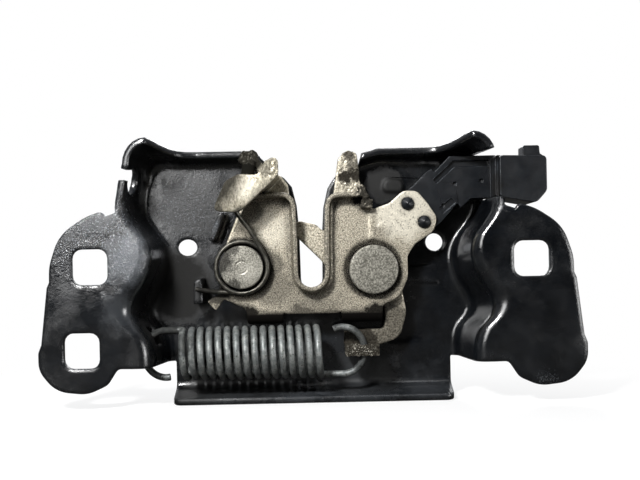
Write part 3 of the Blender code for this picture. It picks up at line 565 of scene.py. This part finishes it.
# plated lever steel rubbed by the cable: drawn streaks, a painted highlight in the leaf's middle, painted
# shade over its left third and its neck, sooty ends
PAWL_PLATE = Finish(
    "rubbed_lever_steel", "plated_lever", base="#a19a87", mottle=Blobs("#d9d1bd", 0.6, 1.0),
    grime_and_shade="#12110d", bare_and_highlight="#f0ead9", wear_share=0.9, metallic=0.6, rough=(0.26, 0.48),
    grain=(0.7, 0.06), speck=Blobs("#3a3529", 0.7, 0.45), wave_depth=0.1, edge_mm=0.6,
    stretch=(1.0, 1.0, 0.55), soot_and_shade_mm=4.0, seam=0.6,
    patches=spots(
        # (-41.4, -1, 38) is painted shade over the leaf's left third and (-23, 3.4, 37) painted shade on the
        # neck
        (-23, 5, 41.8, 7, 0.97, 0.2), (-16.8, -1, 37.5, 3.4, 0.6, 1.4), (-15.4, -1, 41, 2.6, 0.6, 1.4),
        (-41.4, -1, 38, 18.6, 0.92, 0.12), (-35, -1, 22.5, 3, 0.85, 0.4), (-26, -1, 20, 3.6, 0.8, 0.3),
        (-18.6, 8, 36, 3.4, 0.93), (-23, 3.4, 37, 4.2, 1, 0.2),
    ),
    # a painted highlight in the leaf's middle
    pale=spots((-23, -1, 29, 5, 0.45, 0.6)),
    sparkle=spots((-23.6, 2.6, 43, 3.6, 0.22, 0.3)),
)
# cold-headed rivet steel: dull grey with a peened grain
RIVET_STEEL = Finish(
    "headed_rivet_steel", "rivet_steel", base="#5f5d54", mottle=Blobs("#a5a297", 0.6, 0.95),
    grime_and_shade="#0d0c0a", bare_and_highlight="#e8e4d7", wear_share=1.0, rough=(0.38, 0.56),
    grain=(0.6, 0.05), speck=Blobs("#24221d", 0.5, 0.7), edge_mm=0.5, soot_and_shade_mm=2.6,
    patches=spots((-35, 6, 3, 5.4, 0.8, 0.5), (-30.4, 6, 8.5, 3.4, 0.7, 0.6), (-29.4, 6, -6, 2.6, 0.7, 0.8)),
    pale=spots((-22, 6, -1.5, 6, 0.22, 0.4)),
)
# galvanised spring wire: flat mid grey, with soiling and painted shade between the coils
GALVANISED = Finish(
    "dirty_galvanised_wire", "galvanised_wire", base="#6a6e6e", mottle=Blobs("#9a9d99", 1.6, 0.8),
    grime_and_shade="#0d0c0a", bare_and_highlight="#8f8f8b", wear_share=0.2, metallic=0.40, rough=(0.40, 0.58),
    grain=(0.7, 0.06), speck=Blobs("#1a1815", 0.8, 0.8), soot_and_shade_mm=3.2,
    patches=spots(
        (-49, 3, -28, 5, 0.7), (8, 10, -24, 4, 0.6), (19.5, 10, -31, 9, 0.7), (-58, 10, -23, 9, 0.85),
        (-60, 10, -40, 5, 0.55), (6, 10, -42, 4, 0.4),
    ),
)
# oil-tempered spring wire: dark, half glossy
SPRING_STEEL = Finish(
    "tempered_spring_wire", "spring_steel", base="#3a3934", mottle=Blobs("#65625a", 1.6, 0.9),
    grime_and_shade="#0d0c0a", grime_and_shade_share=0.9, bare_and_highlight="#9a9587", wear_share=0.4, metallic=0.75, rough=(0.30, 0.5),
    grain=(0.8, 0.05), speck=Blobs("#191712", 0.8, 0.7), soot_and_shade_mm=2.5,
    patches=spots((-40, 10, -8, 6, 0.85)),
)
# moulded glass-filled nylon: black, satin, a faint eroded-tool texture; the grey of its rubbed edges is also a
# painted edge highlight
BLACK_NYLON = Finish(
    "moulded_black_nylon", "black_plastic", base="#0b0e13", mottle=Blobs("#12161b", 4.0, 0.8),
    grime_and_shade="#1d1a15", grime_and_shade_share=0.4, bare_and_highlight="#6a7178", wear_share=0.9, metallic=0.0, rough=(0.34, 0.46),
    grain=(0.5, 0.02), speck=Blobs("#26261f", 0.8, 0.25), specular=0.34, edge_mm=0.5,
    patches=spots((72, 8, 30, 5, 0.5)),
)
# sintered bronze sleeve
BRONZE = Finish(
    "sintered_bronze", "sleeve_bronze", base="#8a6236", mottle=Blobs("#a57a49", 0.8, 0.7),
    grime_and_shade="#1c140c", grime_and_shade_share=0.8, bare_and_highlight="#c79c65", wear_share=0.3, metallic=0.95, rough=(0.35, 0.5),
    grain=(0.5, 0.02),
)
# natural nylon plunger
NYLON = Finish(
    "natural_nylon", "plunger_nylon", base="#cfc8b6", mottle=Blobs("#bdb49e", 2.0, 0.6),
    grime_and_shade="#4a4337", grime_and_shade_share=0.5, bare_and_highlight="#e3ddcd", wear_share=0.2, metallic=0.0, rough=(0.35, 0.5),
    grain=(0.6, 0.01),
)
# tinned copper strip
TINNED = Finish(
    "tinned_copper", "tinned_copper", base="#b9b3a6", mottle=Blobs("#a38f70", 1.5, 0.6),
    grime_and_shade="#2a241b", grime_and_shade_share=0.4, bare_and_highlight="#c78f5e", wear_share=0.6, metallic=0.95, rough=(0.22, 0.4),
    grain=(0.6, 0.01),
)
# soft rubber gaiter
RUBBER = Finish(
    "soft_rubber", "gaiter_rubber", base="#141414", mottle=Blobs("#1d1d1c", 2.0, 0.6),
    grime_and_shade="#302b23", grime_and_shade_share=0.5, bare_and_highlight="#2a2a29", wear_share=0.2, metallic=0.0, rough=(0.7, 0.85),
    grain=(0.5, 0.02),
)


def only(obj: Object) -> Object:
    """Deselect all, then select one object and make it active.

    Args:
        obj: The object to work on.

    Returns:
        The same object.
    """
    bpy.ops.object.select_all(action="DESELECT")
    obj.select_set(True)
    bpy.context.view_layer.objects.active = obj
    return obj


def place_object(name: str, data: bpy.types.ID) -> Object:
    """Put a new object into the scene.

    Args:
        name: Its name.
        data: Its mesh, curve, lamp or camera.

    Returns:
        The object.
    """
    obj = bpy.data.objects.new(name, data)
    bpy.context.scene.collection.objects.link(obj)
    return obj


@contextmanager
def editing() -> Iterator[None]:
    """Edit the active object with all of it selected, for as long as the block lasts."""
    bpy.ops.object.mode_set(mode="EDIT")
    bpy.ops.mesh.select_all(action="SELECT")
    yield
    bpy.ops.object.mode_set(mode="OBJECT")


def apply_modifiers(obj: Object) -> None:
    """Apply every modifier of an object.

    Args:
        obj: The object whose modifiers become mesh.
    """
    only(obj)
    for step in list(obj.modifiers):
        bpy.ops.object.modifier_apply(modifier=step.name)


def settle(obj: Object, angle: float) -> None:
    """Put an object's place into its mesh and smooth it by angle.

    Args:
        obj: The finished mesh object.
        angle: Largest smoothed angle in degrees.
    """
    only(obj)
    bpy.ops.object.transform_apply()
    bpy.ops.object.shade_smooth_by_angle(angle=math.radians(angle))


def dress(obj: Object, finish: Finish, body: Body, *nodes: str) -> None:
    """Give a piece its finish, its body and the frame nodes that it stands for.

    Args:
        obj: The piece.
        finish: Its surface.
        body: The body it rides on.
        *nodes: Names of replaced frame nodes.
    """
    obj.data.materials.clear()
    obj.data.materials.append(finish.material())
    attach(obj, body.value)
    if nodes:
        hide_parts(*nodes)
    LOG.info("piece %s rides on %s", obj.name, body.value)


def round_edges(obj: Object, width_mm: float, faces: int, angle: float, arcs: bool = False) -> None:
    """Round the sharp edges of an object.

    Args:
        obj: The mesh object.
        width_mm: Width of the rounding.
        faces: Faces across it.
        angle: Smallest rounded angle in degrees.
        arcs: Whether outer corners get an arc.
    """
    edge = obj.modifiers.new("edge", "BEVEL")
    edge.width = width_mm * MM
    edge.segments = faces
    edge.limit_method = "ANGLE"
    edge.angle_limit = math.radians(angle)
    edge.use_clamp_overlap = False
    if arcs:
        edge.miter_outer = "MITER_ARC"
    apply_modifiers(obj)


def copy_node(source: Object, name: str, extra: Sequence[Object] = (), flat_angle: float = 0.0) -> Object:
    """Copy a frame node, join closed blocks to it and weld its points.

    Args:
        source: Frame node to copy.
        name: Name of the new piece.
        extra: Blocks that join it.
        flat_angle: Degrees below which neighbouring faces become one, or 0 to keep all.

    Returns:
        The new object.
    """
    obj = only(place_object(name, source.data.copy()))
    if extra:
        for item in extra:
            item.select_set(True)
        bpy.ops.object.join()
    with editing():
        bpy.ops.mesh.remove_doubles(threshold=WELD)
        if flat_angle:
            bpy.ops.mesh.dissolve_limited(angle_limit=math.radians(flat_angle), delimit={"NORMAL"})
    return obj


def softened_copy(source: Object, name: str, width_mm: float, faces: int, flat_angle: float = 0.0) -> Object:
    """Copy a frame node, merge its flat faces and round its edges.

    Args:
        source: Frame node to copy.
        name: Name of the new piece.
        width_mm: Width of the edge rounding.
        faces: Faces across the rounding.
        flat_angle: As for copy_node.

    Returns:
        The new object.
    """
    obj = copy_node(source, name, flat_angle=flat_angle)
    round_edges(obj, width_mm, faces, angle=38, arcs=True)
    settle(obj, angle=50)
    flats = obj.modifiers.new("flats", "WEIGHTED_NORMAL")
    flats.keep_sharp = True
    flats.weight = 80
    apply_modifiers(obj)
    return obj


def worn_copy(source: Object, name: str, cell_mm: float, rounds: int, extra: Sequence[Object] = ()) -> Object:
    """Copy a frame node as an even, dense mesh with softly worn edges.

    Args:
        source: Frame node to copy.
        name: Name of the new piece.
        cell_mm: Size of the new faces.
        rounds: Smoothing passes, more for rounder edges.
        extra: Closed pieces that are melted into it.

    Returns:
        The new object.
    """
    obj = copy_node(source, name, extra)
    dense = obj.modifiers.new("dense", "REMESH")
    dense.mode = "VOXEL"
    dense.voxel_size = cell_mm * MM
    worn = obj.modifiers.new("worn", "SMOOTH")
    worn.factor = 0.5
    worn.iterations = rounds
    apply_modifiers(obj)
    return obj


def block(place: Point, size: Point, lean: float, edge_mm: float) -> Object:
    """Add a small bevelled block to be melted into another piece.

    Args:
        place: Centre in millimetres.
        size: Edge lengths in millimetres.
        lean: Turn about Y in degrees.
        edge_mm: Width of the bevel.

    Returns:
        The block.
    """
    bpy.ops.object.select_all(action="DESELECT")
    bpy.ops.mesh.primitive_cube_add(
        size=MM, location=Vector(place) * MM, rotation=(0, math.radians(lean), 0), scale=size
    )
    obj = bpy.context.view_layer.objects.active
    bpy.ops.object.transform_apply()
    with editing():
        bpy.ops.mesh.bevel(offset=edge_mm * MM, segments=2)
    return obj


def roughen(obj: Object, places: Sequence[Patch], size_mm: float, depth_mm: float) -> None:
    """Push the surface in and out around spots by a cloud pattern.

    Args:
        obj: Dense mesh object.
        places: Where it is pushed, in full up to half of each radius and fading out up to the radius.
        size_mm: Width of the lumps.
        depth_mm: Height of the lumps.
    """
    group = obj.vertex_groups.new(name="rough")
    for vertex in obj.data.vertices:
        here = vertex.co / MM
        weight = 0.0
        for place in places:
            away = (here - Vector((place.x, place.y, place.z))).length / place.radius
            weight = max(weight, place.strength * max(0.0, min(1.0, 2.0 - 2.0 * away)))
        if weight > 0.0:
            group.add([vertex.index], weight, "REPLACE")
    cloud = bpy.data.textures.new(obj.name + "_cloud", "CLOUDS")
    cloud.noise_scale = size_mm * MM
    cloud.noise_depth = 3
    push = obj.modifiers.new("push", "DISPLACE")
    push.texture = cloud
    push.texture_coords = "LOCAL"
    push.strength = depth_mm * MM
    push.mid_level = 0.5
    push.vertex_group = group.name
    apply_modifiers(obj)


def wire(name: str, path: Sequence[Point], radius_mm: float) -> Object:
    """Round wire through points given in millimetres, as a closed mesh.

    Args:
        name: Name of the piece.
        path: Centre line.
        radius_mm: Wire radius.

    Returns:
        The new mesh object.
    """
    line = bpy.data.curves.new(name, "CURVE")
    line.dimensions = "3D"
    spline = line.splines.new("POLY")
    spline.points.add(len(path) - 1)
    for point, spot in zip(spline.points, path):
        point.co = (spot[0] * MM, spot[1] * MM, spot[2] * MM, 1.0)
    line.bevel_depth = radius_mm * MM
    line.bevel_resolution = WIRE_STEPS
    line.use_fill_caps = True
    only(place_object(name, line))
    bpy.ops.object.convert(target="MESH")
    obj = bpy.context.view_layer.objects.active
    with editing():
        bpy.ops.mesh.remove_doubles(threshold=WELD / 2)
        bpy.ops.mesh.normals_make_consistent(inside=False)
    settle(obj, angle=50)
    return obj


def helix(start: float, turns: float, per_turn: int) -> List[float]:
    """Angles along a helix in radians.

    Args:
        start: First angle.
        turns: Number of turns; negative turns go the other way.
        per_turn: Points in a turn.

    Returns:
        The angles, both ends included.
    """
    count = int(abs(turns) * per_turn)
    return [start + 2 * math.pi * turns * i / count for i in range(count + 1)]


@dataclass
class Pressings:
    """The painted base plate and the plated cover plate, with softened sheet edges."""

    nodes: Dict[str, Object]
    paint_edge: float = 0.45
    zinc_cell: float = 0.4
    torn: Patch = Patch(21, 8, 27, 7, 1)
    lump: float = 1.2
    lump_depth: float = 1.1

    def build(self) -> None:
        """Make both pressings."""
        base = softened_copy(
            self.nodes["base_plate"], "painted_base_plate", self.paint_edge, faces=3, flat_angle=0.8
        )
        dress(base, BLACK_PAINT, Body.FRAME, "base_plate")
        cover = worn_copy(
            self.nodes["cover_plate"], "plated_cover_plate", self.zinc_cell, rounds=4, extra=self._lug()
        )
        roughen(cover, [self.torn], self.lump, self.lump_depth)
        settle(cover, angle=60)
        dress(cover, ZINC_PLATE, Body.FRAME, "cover_plate")

    @staticmethod
    def _lug() -> List[Object]:
        """Shape the frayed lug where the cable's cover is torn off the rim's right end.

        Returns:
            Closed blocks that the cover swallows.
        """
        return [
            block(place=(20.4, 8.8, 28.6), size=(2.6, 3.4, 6.0), lean=-28.0, edge_mm=0.5),
            block(place=(21.6, 9.6, 24.2), size=(4.6, 3.6, 3.4), lean=4.0, edge_mm=0.5),
        ]


@dataclass
class Levers:
    """The claw and the pawl, worn round, with caked and wavy ends."""

    nodes: Dict[str, Object]
    cell: float = 0.32
    lump: float = 1.3
    claw_lump_depth: float = 1.0
    pawl_lump_depth: float = 1.5
    claw_grit: Tuple[Patch, ...] = spots(
        (16, 15, 35, 7, 1), (14.6, 15, 44, 5, 0.8), (19, 10, -32, 10, 0.9), (-5, 15, 16.5, 4, 0.4),
    )
    pawl_grit: Tuple[Patch, ...] = spots((-23, 5, 42, 5.5, 1), (-14.6, -1, 38, 4.2, 0.8), (-35, -1, 23, 3, 0.5))
    neck_centre: Point = (-23.0, 2.6, 37.4)
    neck_radius: float = 2.5
    neck_length: float = 7.6
    neck_lean: Span = (-22.0, 8.0)
    neck_depth_share: float = 0.6
    # top of the leaf's dome, the way across it, and how fast it falls each way
    dome_top: Span = (-21.5, 30.0)
    dome_way: Span = (0.70, 0.71)
    fall_across: float = 0.010
    fall_over: float = 0.009
    fall_under: float = 0.028
    fall_limit: float = 4.0
    # the fall dies out from here on over this width
    straight_from: float = 4.0
    straight_width: float = 6.0
    # the leaf ends at this depth, and the fall dies out over the last of it
    leaf_back: float = 2.4
    leaf_fade: float = 2.0

    def build(self) -> None:
        """Make both moving plates."""
        self._claw()
        self._pawl()

    def _claw(self) -> None:
        """Make the claw with a chipped upper jaw and a gritty hook plate."""
        claw = worn_copy(self.nodes["claw"], "claw_fork", self.cell, rounds=4)
        roughen(claw, self.claw_grit, self.lump, self.claw_lump_depth)
        settle(claw, angle=60)
        dress(claw, CLAW_PLATE, Body.CLAW, "claw")

    def _pawl(self) -> None:
        """Make the pawl with a domed leaf, a wavy dirty horn and a knobbly tail."""
        pawl = worn_copy(self.nodes["pawl"], "pawl_lever", self.cell, rounds=5, extra=[self._neck()])
        self._dome(pawl)
        roughen(pawl, self.pawl_grit, self.lump, self.pawl_lump_depth)
        settle(pawl, angle=60)
        dress(pawl, PAWL_PLATE, Body.PAWL, "pawl")

    def _neck(self) -> Object:
        """Shape the neck that carries the knob up out of the leaf.

        Returns:
            A closed piece that the pawl swallows.
        """
        centre = Vector(self.neck_centre) * MM
        bpy.ops.object.select_all(action="DESELECT")
        bpy.ops.mesh.primitive_cylinder_add(
            vertices=24, radius=self.neck_radius * MM, depth=self.neck_length * MM, location=centre,
            rotation=(math.radians(self.neck_lean[0]), math.radians(self.neck_lean[1]), 0),
        )
        neck = bpy.context.view_layer.objects.active
        bpy.ops.object.transform_apply()
        with editing():
            bpy.ops.transform.resize(value=(1.0, self.neck_depth_share, 1.0), center_override=centre)
        return neck

    def _dome(self, obj: Object) -> None:
        """Curve the leaf: its left and lower rims fall away from the viewer.

        Args:
            obj: The pawl's dense mesh.
        """
        for vertex in obj.data.vertices:
            x, y, z = vertex.co / MM
            if y > self.leaf_back:
                continue
            x, z = x - self.dome_top[0], z - self.dome_top[1]
            across = x * self.dome_way[0] + z * self.dome_way[1]
            over = z * self.dome_way[0] - x * self.dome_way[1]
            steep = self.fall_over if over > 0 else self.fall_under
            fall = self.fall_across * across * across + steep * over * over
            if across > self.straight_from:
                fall *= max(0.0, 1.0 - (across - self.straight_from) / self.straight_width)
            fade = max(0.0, min(1.0, (self.leaf_back - y) / self.leaf_fade))
            vertex.co.y += min(fall, self.fall_limit) * fade * MM


@dataclass
class HeadedRivet:
    """A cold-headed pivot rivet with a coined face."""

    name: str
    node: str
    centre: Span
    head_radius: float
    head_front: float
    head_back: float = 11.2
    shank_radius: float = 4.7
    tail: float = 26.3
    tail_flare: float = 2.6
    tail_thick: float = 2.0
    edge: float = 0.55
    mark_radius: float = 2.7
    mark_depth: float = 0.2
    groove_width: float = 0.35
    rise_width: float = 0.5

    def build(self) -> None:
        """Turn a cylinder into the rivet by insets and extrusions."""
        bpy.ops.object.select_all(action="DESELECT")
        depth = self.head_back - self.head_front
        bpy.ops.mesh.primitive_cylinder_add(
            vertices=96, radius=self.head_radius * MM, depth=depth * MM,
            location=Vector((self.centre[0], self.head_front + depth / 2, self.centre[1])) * MM,
            rotation=(math.pi / 2, 0, 0),
        )
        obj = bpy.context.view_layer.objects.active
        obj.name = self.name
        bpy.ops.object.transform_apply()
        self._coin(obj)
        self._draw_shank(obj)
        round_edges(obj, self.edge, faces=4, angle=50)
        settle(obj, angle=40)
        dress(obj, RIVET_STEEL, Body.FRAME, self.node)

    def _pick(self, obj: Object, sign: float) -> None:
        """Select the outermost round face on one side.

        Args:
            obj: The rivet in object mode.
            sign: -1 for the face toward the viewer, 1 for the one away.
        """
        only(obj)
        for item in (*obj.data.vertices, *obj.data.edges):
            item.select = False
        # the flat faces that point that way and have more than eight corners
        faces = [f for f in obj.data.polygons if f.normal.y * sign > 0.9 and len(f.vertices) > 8]
        best = max(faces, key=lambda f: f.center.y * sign)
        for item in obj.data.polygons:
            item.select = item.index == best.index
        bpy.ops.object.mode_set(mode="EDIT")
        bpy.ops.mesh.select_mode(type="FACE")

    def _coin(self, obj: Object) -> None:
        """Press a shallow ring and a slightly raised middle into the face.

        Args:
            obj: The rivet.
        """
        self._pick(obj, -1.0)
        bpy.ops.mesh.inset(thickness=(self.head_radius - self.mark_radius) * MM, depth=0.0)
        bpy.ops.mesh.inset(thickness=self.groove_width * MM, depth=-self.mark_depth * MM)
        bpy.ops.mesh.inset(thickness=self.rise_width * MM, depth=self.mark_depth * MM)
        bpy.ops.object.mode_set(mode="OBJECT")

    def _draw_shank(self, obj: Object) -> None:
        """Draw the shank and its upset tail out of the back face.

        Args:
            obj: The rivet.
        """
        self._pick(obj, 1.0)
        bpy.ops.mesh.inset(thickness=(self.head_radius - self.shank_radius) * MM, depth=0.0)
        reach = (self.tail - self.head_back) * MM
        bpy.ops.mesh.extrude_region_move(TRANSFORM_OT_translate={"value": (0, reach, 0)})
        bpy.ops.mesh.inset(thickness=-self.tail_flare * MM, depth=0.0)
        bpy.ops.mesh.extrude_region_move(TRANSFORM_OT_translate={"value": (0, self.tail_thick * MM, 0)})
        bpy.ops.object.mode_set(mode="OBJECT")


@dataclass
class ReturnSpring:
    """Extension spring from the left wall to the claw's eye, in a coil and two hooks."""

    turns: float = 15.5
    radius: float = 9.0
    wire_radius: float = 1.35
    pitch: float = 3.41
    axis_y: float = 10.5
    axis_z: float = -31.9
    left: float = -49.85
    # from the coil to the middle of each hook, and the hook's half width
    left_lead: float = 6.7
    right_lead: float = 8.5
    left_hook: float = 8.4
    right_hook: float = 8.3
    lead_steps: int = 8
    # first angle and sweep of each hook in degrees
    left_arc: Span = (-100.0, 190.0)
    right_arc: Span = (-90.0, 205.0)

    @property
    def right(self) -> float:
        """X of the coil's right end."""
        return self.left + self.turns * self.pitch

    def _hook(self, x: float, reach: float, arc: Span, steps: int) -> List[Point]:
        """Bend one hook.

        Args:
            x: Its middle.
            reach: Its half width, negative when it opens to the right.
            arc: First angle and sweep in degrees.
            steps: Steps along it.

        Returns:
            Points in millimetres, both ends included.
        """
        angles = [math.radians(arc[0] + arc[1] * k / steps) for k in range(steps + 1)]
        return [(x + reach * math.cos(a), self.axis_y, self.axis_z + self.radius * math.sin(a)) for a in angles]

    def build(self) -> None:
        """Make the wire along the frame spring's route, stretching between its two ends."""
        hook_x = self.left - self.left_lead
        path = self._hook(hook_x, -self.left_hook, self.left_arc, steps=36)
        for k in range(1, self.lead_steps):
            path.append((hook_x + self.left_lead * k / self.lead_steps, self.axis_y, self.axis_z + self.radius))
        for a in helix(0.0, self.turns, per_turn=48):
            x = self.left + self.pitch * a / (2 * math.pi)
            path.append((x, self.axis_y - self.radius * math.sin(a), self.axis_z + self.radius * math.cos(a)))
        hook_x = self.right + self.right_lead
        path += self._hook(hook_x, self.right_hook, self.right_arc, steps=40)[1:]
        obj = wire("extension_spring", path, self.wire_radius)
        obj.data.materials.append(GALVANISED.material())
        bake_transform(obj)
        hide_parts("claw_spring")
        LOG.info("piece %s stretches from frame to claw", obj.name)


@dataclass
class PawlSpring:
    """Torsion spring round the pawl's post."""

    centre: Span = (-26.6, 0.8)
    radius: float = 9.85
    wire_radius: float = 0.9
    front: float = 7.6
    pitch: float = 1.95
    turns: float = 1.37
    start: float = 28.0
    # upper leg, under the pawl's leaf, and its bend off the coil's top
    upper_leg: Tuple[Point, ...] = ((-29.0, 3.6, 23.4), (-26.0, 6.6, 18.6))
    upper_bend: Span = (3.4, 4.4)
    # lower leg, on the floor's post, with its depth behind the front of the coil
    lower_bend: Span = (-0.4, 0.6)
    lower_end: Span = (-44.6, -7.2)
    lower_depth: float = 2.4

    def build(self) -> None:
        """Make the coil with its two legs."""
        cx, cz = self.centre
        path: List[Point] = list(self.upper_leg)
        path.append((cx + self.upper_bend[0], self.front, cz + self.radius + self.upper_bend[1]))
        for a in helix(math.radians(self.start), -self.turns, per_turn=64):
            share = (math.radians(self.start) - a) / (2 * math.pi)
            path.append((
                cx + self.radius * math.cos(a), self.front + self.pitch * share, cz + self.radius * math.sin(a)
            ))
        depth = self.front + self.lower_depth
        path.append((cx - self.radius + self.lower_bend[0], depth, cz - self.radius + self.lower_bend[1]))
        path.append((self.lower_end[0], depth, self.lower_end[1]))
        obj = wire("torsion_spring", path, self.wire_radius)
        dress(obj, SPRING_STEEL, Body.FRAME, "pawl_spring")


@dataclass
class Switch:
    """Position switch with its connector shroud; the works inside stay as frame nodes."""

    nodes: Dict[str, Object]
    edge: float = 0.3

    def build(self) -> None:
        """Make the case."""
        case = softened_copy(self.nodes["switch_housing"], "switch_case", self.edge, faces=2)
        dress(case, BLACK_NYLON, Body.FRAME, "switch_housing")


def dress_nodes(nodes: Dict[str, Object]) -> None:
    """Give the frame nodes that stay their finishes.

    Args:
        nodes: Frame nodes by name.
    """
    finishes = {
        BRONZE: ("claw_bush", "pawl_bush", "claw_washer", "pawl_washer"),
        RIVET_STEEL: ("claw_spacer", "pawl_spacer"), SPRING_STEEL: ("plunger_spring",),
        BLACK_NYLON: ("switch_lid",), NYLON: ("switch_plunger",), RUBBER: ("plunger_seal",),
        TINNED: ("contact_blade", "terminal_upper", "terminal_lower"),
    }
    for finish, names in finishes.items():
        for name in names:
            nodes[name].data.materials.clear()
            nodes[name].data.materials.append(finish.material())
            LOG.info("frame node %s gets %s", name, finish.name)


@dataclass(frozen=True)
class Lamp:
    """A square soft lamp, with its place, size and aim in millimetres and its power in watts.

    A card only shows in reflections.
    """

    name: str
    place: Point
    size: float
    power: float
    aim: Point = (0, 10, 0)
    card: bool = False

    def hang(self) -> None:
        """Add the lamp to the scene."""
        data = bpy.data.lights.new(self.name, "AREA")
        data.shape = "SQUARE"
        data.size = self.size * MM
        data.energy = self.power
        obj = place_object(self.name, data)
        obj.location = Vector(self.place) * MM
        obj.rotation_euler = (Vector(self.aim) - Vector(self.place)).to_track_quat("-Z", "Y").to_euler()
        obj.visible_diffuse = not self.card


@dataclass
class Studio:
    """Camera, lamps, surroundings and floor."""

    floor_level: float
    focal_px: float = 840.0
    width_px: float = 640.0
    height_px: float = 480.0
    centre_px: Span = (313.0, 268.0)
    distance: float = 312.5
    side: float = 0.6
    roll: float = 1.2
    sensor: float = 36.0
    nearest: float = 0.01
    lamps: Tuple[Lamp, ...] = (
        Lamp("key", (-145, -300, 225), 60, 2.3),
        Lamp("left_panel", (-262, -560, 150), 235, 1.7, card=True),
        Lamp("top", (40, -120, 420), 200, 0.25),
        Lamp("back", (60, 430, 320), 200, 2.0),
        Lamp("right_card", (310, -220, -15), 150, 0.9, aim=(-60, 0, 0), card=True),
    )
    # brightness of the room low and high, its share in front and behind, and between which heights or
    # depths of the view direction each changes
    room_colour: str = "#f2f4f8"
    room_rise: Span = (0.05, 0.45)
    rise_between: Span = (-0.4, 0.8)
    room_front: float = 0.05
    front_between: Span = (-0.80, -0.15)
    room_back: float = 3.0
    back_between: Span = (0.35, 0.95)
    # edge length of the floor in metres, its colours, and where and how much it fades to white
    floor_size: float = 6.0
    floor_dim: str = "#4c4b49"
    floor_pale: str = "#f6f6f6"
    fade_between: Span = (0.08, 0.20)
    fade: Span = (0.70, 1.0)

    def camera(self) -> None:
        """Place the camera in front, with the photograph's framing."""
        data = bpy.data.cameras.new("view")
        data.sensor_width = self.sensor
        data.lens = self.focal_px / self.width_px * self.sensor
        data.shift_x = (self.width_px / 2 - self.centre_px[0]) / self.width_px
        data.shift_y = (self.centre_px[1] - self.height_px / 2) / self.width_px
        data.clip_start = self.nearest
        obj = place_object("view", data)
        obj.location = (self.side * MM, -self.distance * MM, 0.0)
        turn = Matrix.Rotation(math.radians(90), 4, "X") @ Matrix.Rotation(math.radians(-self.roll), 4, "Z")
        obj.rotation_euler = turn.to_euler()
        bpy.context.scene.camera = obj

    def surroundings(self) -> None:
        """Set the world: white to the camera, and to the object a soft room that is darkest behind it."""
        world = bpy.data.worlds.new("room")
        bpy.context.scene.world = world
        world.use_nodes = True
        world.node_tree.nodes.clear()
        net = Nodes(world.node_tree)
        path = net.add("ShaderNodeLightPath").outputs
        place = net.add("ShaderNodeTexCoord")
        way = net.add("ShaderNodeSeparateXYZ", {0: place.outputs["Generated"]}).outputs
        rise = net.ramp(way["Z"], self.rise_between, self.room_rise)
        front = net.ramp(way["Y"], self.front_between, (self.room_front, 1.0), "SMOOTHSTEP")
        back = net.ramp(way["Y"], self.back_between, (1.0, self.room_back), "SMOOTHSTEP")
        level = net.combine("MULTIPLY", rise, net.combine("MULTIPLY", front, back))
        room = net.add("ShaderNodeBackground", {"Color": linear(self.room_colour), "Strength": level})
        white = net.add("ShaderNodeBackground", {"Color": (1, 1, 1, 1), "Strength": 1.0})
        seen = net.combine("MAXIMUM", path["Is Camera Ray"], path["Is Transmission Ray"])
        mixed = net.add("ShaderNodeMixShader", {0: seen, 1: room.outputs[0], 2: white.outputs[0]})
        net.add("ShaderNodeOutputWorld", {"Surface": mixed.outputs[0]})

    def floor(self) -> None:
        """Lay a pale floor that keeps the shadow but fades to white away from the object."""
        bpy.ops.object.select_all(action="DESELECT")
        bpy.ops.mesh.primitive_plane_add(size=self.floor_size, location=(0, 0, self.floor_level))
        obj = bpy.context.view_layer.objects.active
        obj.name = "floor"
        made = bpy.data.materials.new("pale_floor")
        made.use_nodes = True
        made.node_tree.nodes.clear()
        net = Nodes(made.node_tree)
        camera_ray = net.add("ShaderNodeLightPath").outputs["Is Camera Ray"]
        place = net.add("ShaderNodeTexCoord").outputs["Object"]
        reach = net.add("ShaderNodeVectorMath", {0: place}, operation="LENGTH").outputs["Value"]
        fade = net.ramp(reach, self.fade_between, self.fade, "SMOOTHSTEP")
        # pale to the camera, a dim table top in the object's reflections
        tone = net.mix(linear(self.floor_dim), camera_ray, self.floor_pale)
        matt = net.add("ShaderNodeBsdfDiffuse", {"Color": tone})
        glow = net.add("ShaderNodeEmission", {"Color": (1, 1, 1, 1), "Strength": 1.0})
        share = net.combine("MULTIPLY", camera_ray, fade)
        mixed = net.add("ShaderNodeMixShader", {0: share, 1: matt.outputs[0], 2: glow.outputs[0]})
        net.add("ShaderNodeOutputMaterial", {"Surface": mixed.outputs[0]})
        obj.data.materials.append(made)
        obj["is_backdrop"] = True

    def build(self) -> None:
        """Set up the whole studio."""
        bpy.context.scene.view_settings.view_transform = "Standard"
        self.camera()
        for lamp in self.lamps:
            lamp.hang()
        self.surroundings()
        self.floor()


def main() -> None:
    logging.basicConfig(level=logging.INFO, format="%(name)s: %(message)s")
    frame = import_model()
    nodes = frame["nodes"]
    cad = [list(corner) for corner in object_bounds()]
    Studio(floor_level=cad[0][2]).build()
    dress_nodes(nodes)
    Pressings(nodes).build()
    Levers(nodes).build()
    HeadedRivet(
        "claw_pivot_rivet", "claw_rivet", centre=(23.9, -1.0), head_radius=9.4, head_front=8.0,
        mark_radius=4.0, mark_depth=0.03,
    ).build()
    HeadedRivet("pawl_pivot_rivet", "pawl_rivet", centre=(-26.6, 0.8), head_radius=8.25, head_front=5.5).build()
    ReturnSpring().build()
    PawlSpring().build()
    Switch(nodes).build()


if __name__ == "__main__":
    main()
